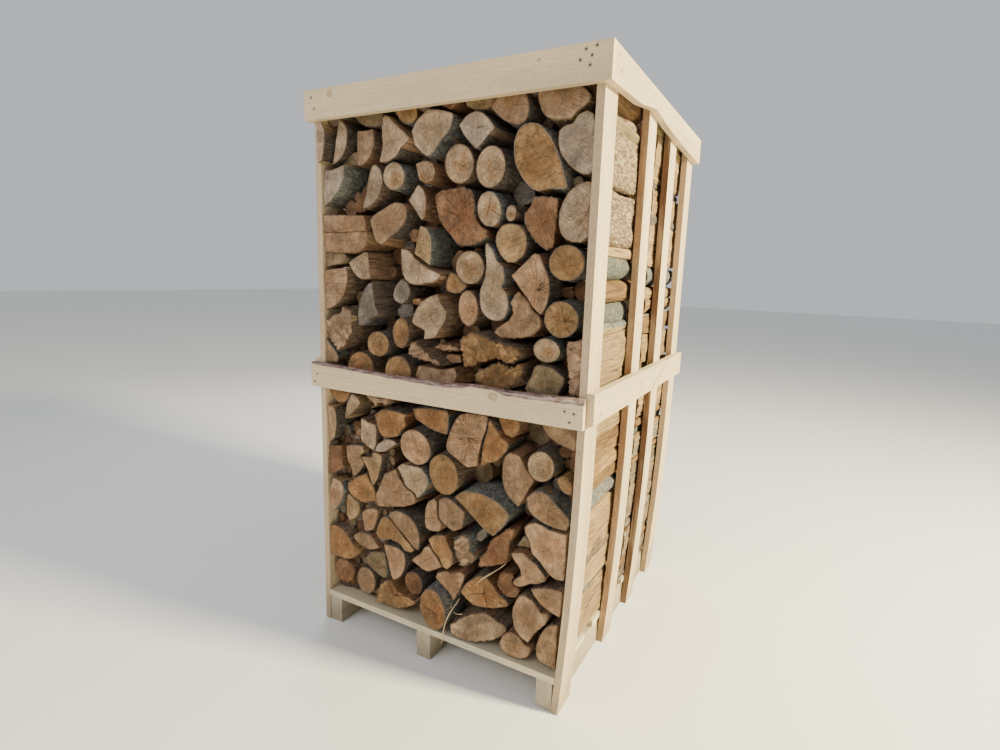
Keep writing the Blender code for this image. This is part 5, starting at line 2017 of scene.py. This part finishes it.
@dataclass
class Firewood:
    """The two rows of firewood, each log of the front row a piece of its own."""

    nodes: dict[str, bpy.types.Object]
    courses: int = 9

    def __post_init__(self) -> None:
        """Makes the logs' materials."""
        self.materials = [EndGrain().material(), LogSide().material()]

    def build(self) -> None:
        """Builds the front row log by log and the rear row course by course."""
        rims = [self._front_log(number) for number in LOGS]
        self._gap_sticks(rims, Row.FRONT)
        self._gap_sticks(self._rear_row(), Row.REAR)

    def _gap_sticks(self, rims: list[Rim], row: Row) -> None:
        """Fills a row's gaps with sticks, joined into one piece for each half.

        Args:
            rims: The rims of the row's logs.
            row: The row.
        """
        meshes = {"lower": LogMesh(), "upper": LogMesh()}
        for spec in GapSticks(rims, row).specs():
            stick = SplitLog(spec, row, PLAIN)
            stick.add_to(meshes["upper" if stick.rim.centre.y > SPLIT_HEIGHT else "lower"])
        for half, mesh in meshes.items():
            piece = mesh.to_object(f"{row.value}_sticks_{half}", self.materials)
            self._hand_over(piece, f"packed_logs_{row.value}_{half}", "packed_log_wood")

    def _front_log(self, number: int) -> Rim:
        """Builds one log of the front row and puts it in place of its CAD node.

        Args:
            number: The log's number.

        Returns:
            The rim of its end.
        """
        mesh = LogMesh()
        log = SplitLog(LogSpec.from_table(number, Row.FRONT), Row.FRONT, CLOSE)
        log.add_to(mesh)
        piece = mesh.to_object(f"front_log_{number:03d}", self.materials)
        own = f"log_{number:03d}"
        half = "upper" if log.rim.centre.y > SPLIT_HEIGHT else "lower"
        node = own if own in self.nodes else f"packed_logs_front_{half}"
        self._hand_over(piece, node, "log_wood" if node == own else "packed_log_wood")
        return log.rim

    def _rear_row(self) -> list[Rim]:
        """Builds the rear row, joined into level courses.

        Returns:
            The rims of its log ends.
        """
        meshes: dict[int, LogMesh] = {}
        rims = []
        for number in LOGS:
            log = SplitLog(LogSpec.from_table(number, Row.REAR), Row.REAR, PLAIN)
            rims.append(log.rim)
            course = min(self.courses - 1, int((log.rim.centre.y - STACK_FOOT) / STACK_HEIGHT * self.courses))
            log.add_to(meshes.setdefault(course, LogMesh()))
        for course, mesh in sorted(meshes.items()):
            piece = mesh.to_object(f"rear_course_{course + 1}", self.materials)
            middle = STACK_FOOT + (course + 0.5) * STACK_HEIGHT / self.courses
            half = "upper" if middle > SPLIT_HEIGHT else "lower"
            self._hand_over(piece, f"packed_logs_rear_{half}", "packed_log_wood")
        return rims

    @staticmethod
    def _hand_over(piece: bpy.types.Object, node: str, slot: str) -> None:
        """Puts a piece in place of a CAD node.

        Args:
            piece: The piece.
            node: The node that it stands for.
            slot: Not used.
        """
        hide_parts(node)
        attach(piece, "root")
        LOG.info("%s: %d faces, for %s", piece.name, len(piece.data.polygons), node)


@dataclass
class WaneyRail:
    """A middle rail whose top edge is the tree's own outside, with thin bark left on it."""

    side: float
    left: float = -0.580
    right: float = HALF_WIDTH
    low: float = 1.009
    high: float = 1.107
    thick: float = 0.0247
    step: float = 0.006
    sharp_angle: float = math.radians(35)
    dips: tuple[Point, ...] = ((-0.58, 0.0), (-0.3757, -0.006), (-0.1487, -0.012), (0.0443, -0.012),
                               (0.1691, -0.002), (0.2826, -0.008), (0.555, 0.0))
    bark_heights: tuple[Point, ...] = ((-0.58, 0.010), (-0.30, 0.010), (0.0, 0.016), (0.12, 0.014),
                                       (0.20, 0.006), (0.25, 0.008), (0.30, 0.018), (0.40, 0.020),
                                       (0.555, 0.020))

    @staticmethod
    def _between(points: tuple[Point, ...], x: float) -> float:
        """The value at x on the line through the points.

        Args:
            points: The points, in the order of their x.
            x: The place asked for.

        Returns:
            The value there.
        """
        for (x0, v0), (x1, v1) in zip(points, points[1:]):
            if x <= x1:
                return v0 + (v1 - v0) * (x - x0) / (x1 - x0)
        return points[-1][1]

    def _section(self, x: float) -> list[tuple[float, float, float]]:
        """The rail's cross-section at a place along it.

        Args:
            x: The place.

        Returns:
            Depth behind the outer face, height and share of bark of each point, from the foot of the
            outer face over the top to the foot of the inner face.
        """
        top = self.high + self._between(self.dips, x) - 0.0008
        wander = noise.noise(Vector((x * 23, 1.0, 2.0))) * 0.003
        wander += noise.noise(Vector((x * 90, 4.0, 2.0))) * 0.0012
        height = max(0.004, self._between(self.bark_heights, x) + wander)
        depth = min(self.thick - 0.004, 0.011 + height * 0.45)
        points = [(0.0, self.low, 0.0), (0.0, self.low + 0.03, 0.0), (0.0, top - height - 0.012, 0.0),
                  (0.0, top - height, 0.15)]
        for k in range(1, 6):
            turn = math.pi / 2 * k / 5
            rough = noise.noise(Vector((x * 160, k * 1.9, 7.0))) * 0.0009
            points.append((depth * (1 - math.cos(turn)) + 0.0004 + abs(rough),
                           top - height + height * math.sin(turn) - abs(rough), 1.0))
        points.append((self.thick - 0.0015, top - 0.0006, 1.0))
        points.append((self.thick, top - 0.002, 0.6))
        points.append((self.thick, self.low, 0.0))
        return points

    def build(self, name: str, material: bpy.types.Material) -> bpy.types.Object:
        """Builds the rail.

        Args:
            name: The object's name.
            material: Its finish.

        Returns:
            The new object.
        """
        count = round((self.right - self.left) / self.step)
        places = []
        barky = []
        for k in range(count + 1):
            x = self.left + (self.right - self.left) * k / count
            for depth, z, bark in self._section(x):
                places.append((x, self.side * (HALF_DEPTH + BOARD - depth), z))
                barky.append(bark)
        around = len(places) // (count + 1)
        faces = []
        for k in range(count):
            for j in range(around):
                a = k * around + j
                b = k * around + (j + 1) % around
                faces.append((a, b, b + around, a + around))
        faces.append(tuple(range(around)))
        faces.append(tuple(reversed(range(count * around, (count + 1) * around))))
        if self.side < 0:
            faces = [face[::-1] for face in faces]
        piece = new_object(name, places, faces, [material])
        layer = piece.data.attributes.new("barky", "FLOAT", "POINT")
        layer.data.foreach_set("value", barky)
        smooth(piece.data, self.sharp_angle)
        return piece


@dataclass(frozen=True)
class Strand:
    """A torn strand of wood: the places that it runs through, and its half width."""

    name: str
    path: tuple[Place, ...]
    half_width: float


@dataclass
class Strands:
    """Long torn strands that hang over the log ends."""

    steps: int = 6
    most_twist: float = 0.9
    thickness: float = 0.45
    strands: tuple[Strand, ...] = (
        Strand("strand_long", ((0.110, -0.600, 0.297), (0.098, -0.606, 0.272), (0.083, -0.611, 0.245),
                               (0.067, -0.615, 0.210), (0.056, -0.617, 0.170), (0.050, -0.6165, 0.130),
                               (0.042, -0.6165, 0.088)), 0.0022),
        Strand("strand_upper", ((0.292, -0.594, 0.484), (0.270, -0.598, 0.462), (0.245, -0.602, 0.440),
                                (0.205, -0.604, 0.405), (0.174, -0.601, 0.368)), 0.0020),
        Strand("strand_short", ((0.070, -0.598, 0.262), (0.085, -0.604, 0.240), (0.105, -0.606, 0.236),
                                (0.128, -0.602, 0.241)), 0.0016),
    )

    def build(self) -> None:
        """Builds every strand."""
        finish = PlainFinish("torn_strand", (0.62, 0.47, 0.28), (0.44, 0.30, 0.16), 200.0,
                             (1.0, 1.0, 0.15), 0.7)
        material = finish.material()
        for strand in self.strands:
            piece = self._strand(strand, material)
            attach(piece, "root")
            LOG.info("%s: %d faces", piece.name, len(piece.data.polygons))

    def _strand(self, strand: Strand, material: bpy.types.Material) -> bpy.types.Object:
        """One strand as a twisted flat strip with pointed ends.

        Args:
            strand: The strand.
            material: Its finish.

        Returns:
            The new object.
        """
        path = [Vector(p) for p in strand.path]
        places = []
        spots = []
        for k in range(len(path) - 1):
            before = path[max(0, k - 1)]
            after = path[min(len(path) - 1, k + 2)]
            for j in range(self.steps):
                t = j / self.steps
                a, b = path[k], path[k + 1]
                spots.append(0.5 * ((2 * a) + (b - before) * t + (2 * before - 5 * a + 4 * b - after) * t * t
                                    + (3 * a - before - 3 * b + after) * t ** 3))
        spots.append(path[-1])
        count = len(spots)
        for k, spot in enumerate(spots):
            way = (spots[min(count - 1, k + 1)] - spots[max(0, k - 1)]).normalized()
            flat = way.cross(Vector((0, -1, 0))).normalized()
            front = way.cross(flat).normalized()
            twist = self.most_twist * math.sin(k * 0.21)
            wide = flat * math.cos(twist) + front * math.sin(twist)
            thin = way.cross(wide)
            size = strand.half_width * min(1.0, 0.25 + 5 * min(k, count - 1 - k) / count)
            size *= 1 + 0.25 * noise.noise(Vector((k * 0.7, 3.0, 1.0)))
            for across, up in ((-1, 0), (0, self.thickness), (1, 0), (0, -self.thickness)):
                places.append(spot + wide * across * size + thin * up * size)
        faces = [(0, 1, 2, 3), tuple(range(4 * count - 1, 4 * count - 5, -1))]
        for k in range(count - 1):
            for j in range(4):
                a = 4 * k + j
                b = 4 * k + (j + 1) % 4
                faces.append((a, a + 4, b + 4, b))
        return new_object(strand.name, places, faces, [material])


BOARD_NAILS = {
    "mid_rail_front": ((0.495, 1.062), (0.525, 1.058), (0.512, 1.030), (-0.548, 1.060), (-0.560, 1.030)),
    "mid_rail_rear": ((0.500, 1.060), (0.520, 1.035), (-0.545, 1.058), (-0.556, 1.028)),
    "top_rail_front": ((0.486, 2.052), (0.502, 2.078), (0.520, 2.060), (0.533, 2.083), (0.516, 2.036),
                       (-0.545, 2.070), (-0.532, 2.030)),
    "top_rail_rear": ((0.535, 2.060), (0.515, 2.030), (-0.540, 2.070), (-0.530, 2.030)),
    "top_rail_right": ((-0.575, 2.070), (-0.555, 2.035), (-0.100, 2.070), (-0.118, 2.045),
                       (0.225, 2.065), (0.210, 2.040), (0.560, 2.070), (0.545, 2.035)),
    "mid_rail_right": ((-0.560, 1.090), (-0.548, 1.050), (-0.105, 1.085), (-0.092, 1.050),
                       (0.220, 1.090), (0.232, 1.052), (0.560, 1.090), (0.548, 1.050)),
    "top_rail_left": ((-0.570, 2.070), (-0.555, 2.035), (-0.100, 2.070), (0.225, 2.065), (0.555, 2.070)),
    "mid_rail_left": ((-0.560, 1.090), (-0.548, 1.050), (-0.105, 1.085), (0.220, 1.090), (0.560, 1.090)),
}
BOARD_KNOTS = {
    "mid_rail_front": (Knot(0.243, 1.074, 0.014), Knot(-0.33, 1.045, 0.004)),
    "top_rail_front": (Knot(-0.455, 2.072, 0.011), Knot(0.36, 2.070, 0.006)),
    "top_rail_right": (Knot(-0.20, 2.065, 0.008), Knot(0.33, 2.04, 0.010)),
    "mid_rail_right": (Knot(-0.10, 1.08, 0.006),),
    "post_right_front": (Knot(1.55, -0.55, 0.008), Knot(0.72, -0.53, 0.006)),
    "slat_right_1": (Knot(1.30, -0.10, 0.009), Knot(0.50, -0.07, 0.008)),
    "slat_right_2": (Knot(0.95, 0.22, 0.008),),
    "top_rail_rear": (Knot(0.1, 2.04, 0.010), Knot(-0.35, 2.06, 0.006)),
    "mid_rail_rear": (Knot(-0.2, 1.06, 0.009),),
    "post_left_rear": (Knot(1.2, 0.55, 0.008),),
    "slat_left_1": (Knot(0.8, -0.1, 0.009),),
    "mid_rail_left": (Knot(0.2, 1.06, 0.010),),
}


@dataclass
class Crate:
    """The crate's boards: the CAD solids with softened edges and a finish of their own each."""

    nodes: dict[str, bpy.types.Object]
    edge_radius: float = 0.0016
    chance: random.Random = field(default_factory=lambda: random.Random(11))

    def dress(self) -> None:
        """Gives every board its finish and softened edges."""
        for number, (name, node) in enumerate(sorted(self.nodes.items())):
            if "log" in name:
                continue
            finish = self._finish(name, number)
            if finish.waney:
                self._waney_rail(name, finish)
                continue
            node.data.materials.clear()
            node.data.materials.append(finish.material())
            bevel = node.modifiers.new("softened_edges", "BEVEL")
            bevel.width = self.edge_radius
            bevel.segments = 2
            bevel.limit_method = "ANGLE"
            LOG.info("%s: %s", name, finish.name)

    def _waney_rail(self, name: str, finish: SawnBoard) -> None:
        """Puts a rail with a rounded waney top edge in place of a CAD rail.

        Args:
            name: The CAD rail's node.
            finish: The rail's finish.
        """
        rail = WaneyRail(-1.0 if name.endswith("front") else 1.0)
        piece = rail.build(name + "_waney", finish.material())
        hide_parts(name)
        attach(piece, "root")
        LOG.info("%s: waney rail, for %s", piece.name, name)

    def _finish(self, name: str, number: int) -> SawnBoard:
        """A board's finish.

        Args:
            name: The board's node.
            number: Its place in the list, which its grain varies with.

        Returns:
            The finish.
        """
        tone = self.chance.uniform(0.94, 1.06)
        warm = self.chance.uniform(0.97, 1.03)
        tint = (0.68 * tone, 0.53 * tone / warm ** 0.5, 0.335 * tone / warm)
        knots: tuple[Knot, ...] = BOARD_KNOTS.get(name, ())
        nails = BOARD_NAILS.get(name, ())
        seed = 0.37 * number
        word = name + "_wood"
        if name.startswith(("post", "slat")):
            # Darker tints of the front faces: partly bark, partly painted shade.
            edge = (0.17, 0.082, 0.042) if name == "slat_right_2" else (0.36, 0.215, 0.12)
            if name.startswith("post"):
                edge = (0.50, 0.365, 0.235)
            return SawnBoard(word, 2, 1, seed, tint, knots, 0.30, 0.16, front_bark_and_shade_tint=edge)
        if name.startswith("skid"):
            return SawnBoard(word, 1, 0, seed, shaded(tint, (0.74, 0.78, 0.86)), knots, 0.6, 0.08)
        if name.startswith("deck"):
            return SawnBoard(word, 0, 1, seed, shaded(tint, (1.02, 1.12, 1.24)), knots, 0.7)
        if name.endswith(("left", "right")):
            crack = ((0.30, 1.105), (0.05, 1.015)) if name == "mid_rail_right" else None
            return SawnBoard(word, 1, 2, seed, tint, knots, 0.30, nails=nails, crack=crack)
        waney = name.startswith("mid_rail")
        return SawnBoard(word, 0, 2, seed, tint, knots, 0.35, nails=nails, waney=waney)


@dataclass
class Studio:
    """The camera at the photo's viewing angle, soft lights and a pale floor."""

    eye: Place = (1.131, -2.206, 1.469)
    turn: Place = (1.6973, 0.4652, -0.3431)
    focal_length: float = 20.47
    floor_size: float = 30.0

    def set_up(self) -> None:
        """Builds the studio."""
        self._camera()
        self._floor()
        self._lights()

    def _camera(self) -> None:
        """The camera, from the fitted rotation whose rows are right, down and forward."""
        data = bpy.data.cameras.new("camera")
        data.lens = self.focal_length
        data.sensor_width = 36.0
        data.clip_start = 0.01
        camera = bpy.data.objects.new("camera", data)
        turn = Vector(self.turn)
        rows = Matrix.Rotation(turn.length, 3, turn.normalized())
        right, down, forward = (Vector(row) for row in rows)
        basis = Matrix((right, -down, -forward)).transposed()
        camera.matrix_world = Matrix.Translation(self.eye) @ basis.to_4x4()
        bpy.context.scene.collection.objects.link(camera)
        bpy.context.scene.camera = camera

    def _floor(self) -> None:
        """A wide pale floor."""
        size = self.floor_size
        corners = [(-size, -size, 0), (size, -size, 0), (size, size, 0), (-size, size, 0)]
        material = bpy.data.materials.new("pale_floor")
        material.use_nodes = True
        shader = material.node_tree.nodes["Principled BSDF"]
        shader.inputs["Base Color"].default_value = (0.80, 0.80, 0.79, 1)
        shader.inputs["Roughness"].default_value = 0.9
        floor = new_object("floor", corners, [(0, 1, 2, 3)], [material])

    def _lights(self) -> None:
        """A bright soft light from the right, a weaker one before the front, and a pale sky."""
        world = bpy.data.worlds.new("pale_sky")
        bpy.context.scene.world = world
        world.use_nodes = True
        sky = world.node_tree.nodes["Background"]
        sky.inputs["Color"].default_value = (0.93, 0.96, 1.0, 1)
        sky.inputs["Strength"].default_value = 0.62
        self._light("light_right", (5.2, 0.4, 4.0), (0.3, 0.0, 1.0), 0.8, 1400, (1.0, 0.88, 0.54))
        self._light("light_front", (-1.5, -4.5, 3.4), (0.0, -0.3, 1.0), 2.6, 90, (1.0, 0.99, 0.97))
        self._light("light_rear", (-3.0, 3.5, 3.2), (0.0, 0.0, 1.0), 2.6, 90, (1.0, 1.0, 1.0))

    @staticmethod
    def _light(name: str, place: tuple, target: tuple, size: float, power: float,
               colour: Colour) -> None:
        """Adds an area light.

        Args:
            name: Its name.
            place: Where it stands.
            target: What it points at.
            size: Its width.
            power: Its power in watts.
            colour: Its colour.
        """
        data = bpy.data.lights.new(name, "AREA")
        data.size = size
        data.energy = power
        data.color = colour
        light = bpy.data.objects.new(name, data)
        light.location = place
        way = Vector(target) - Vector(place)
        light.rotation_euler = way.to_track_quat("-Z", "Y").to_euler()
        bpy.context.scene.collection.objects.link(light)


def main() -> None:
    """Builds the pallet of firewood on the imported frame."""
    logging.basicConfig(level=logging.INFO, format="%(message)s")
    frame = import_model()
    nodes = frame["nodes"]
    Crate(nodes).dress()
    Firewood(nodes).build()
    Strands().build()
    Studio().set_up()


if __name__ == "__main__":
    main()
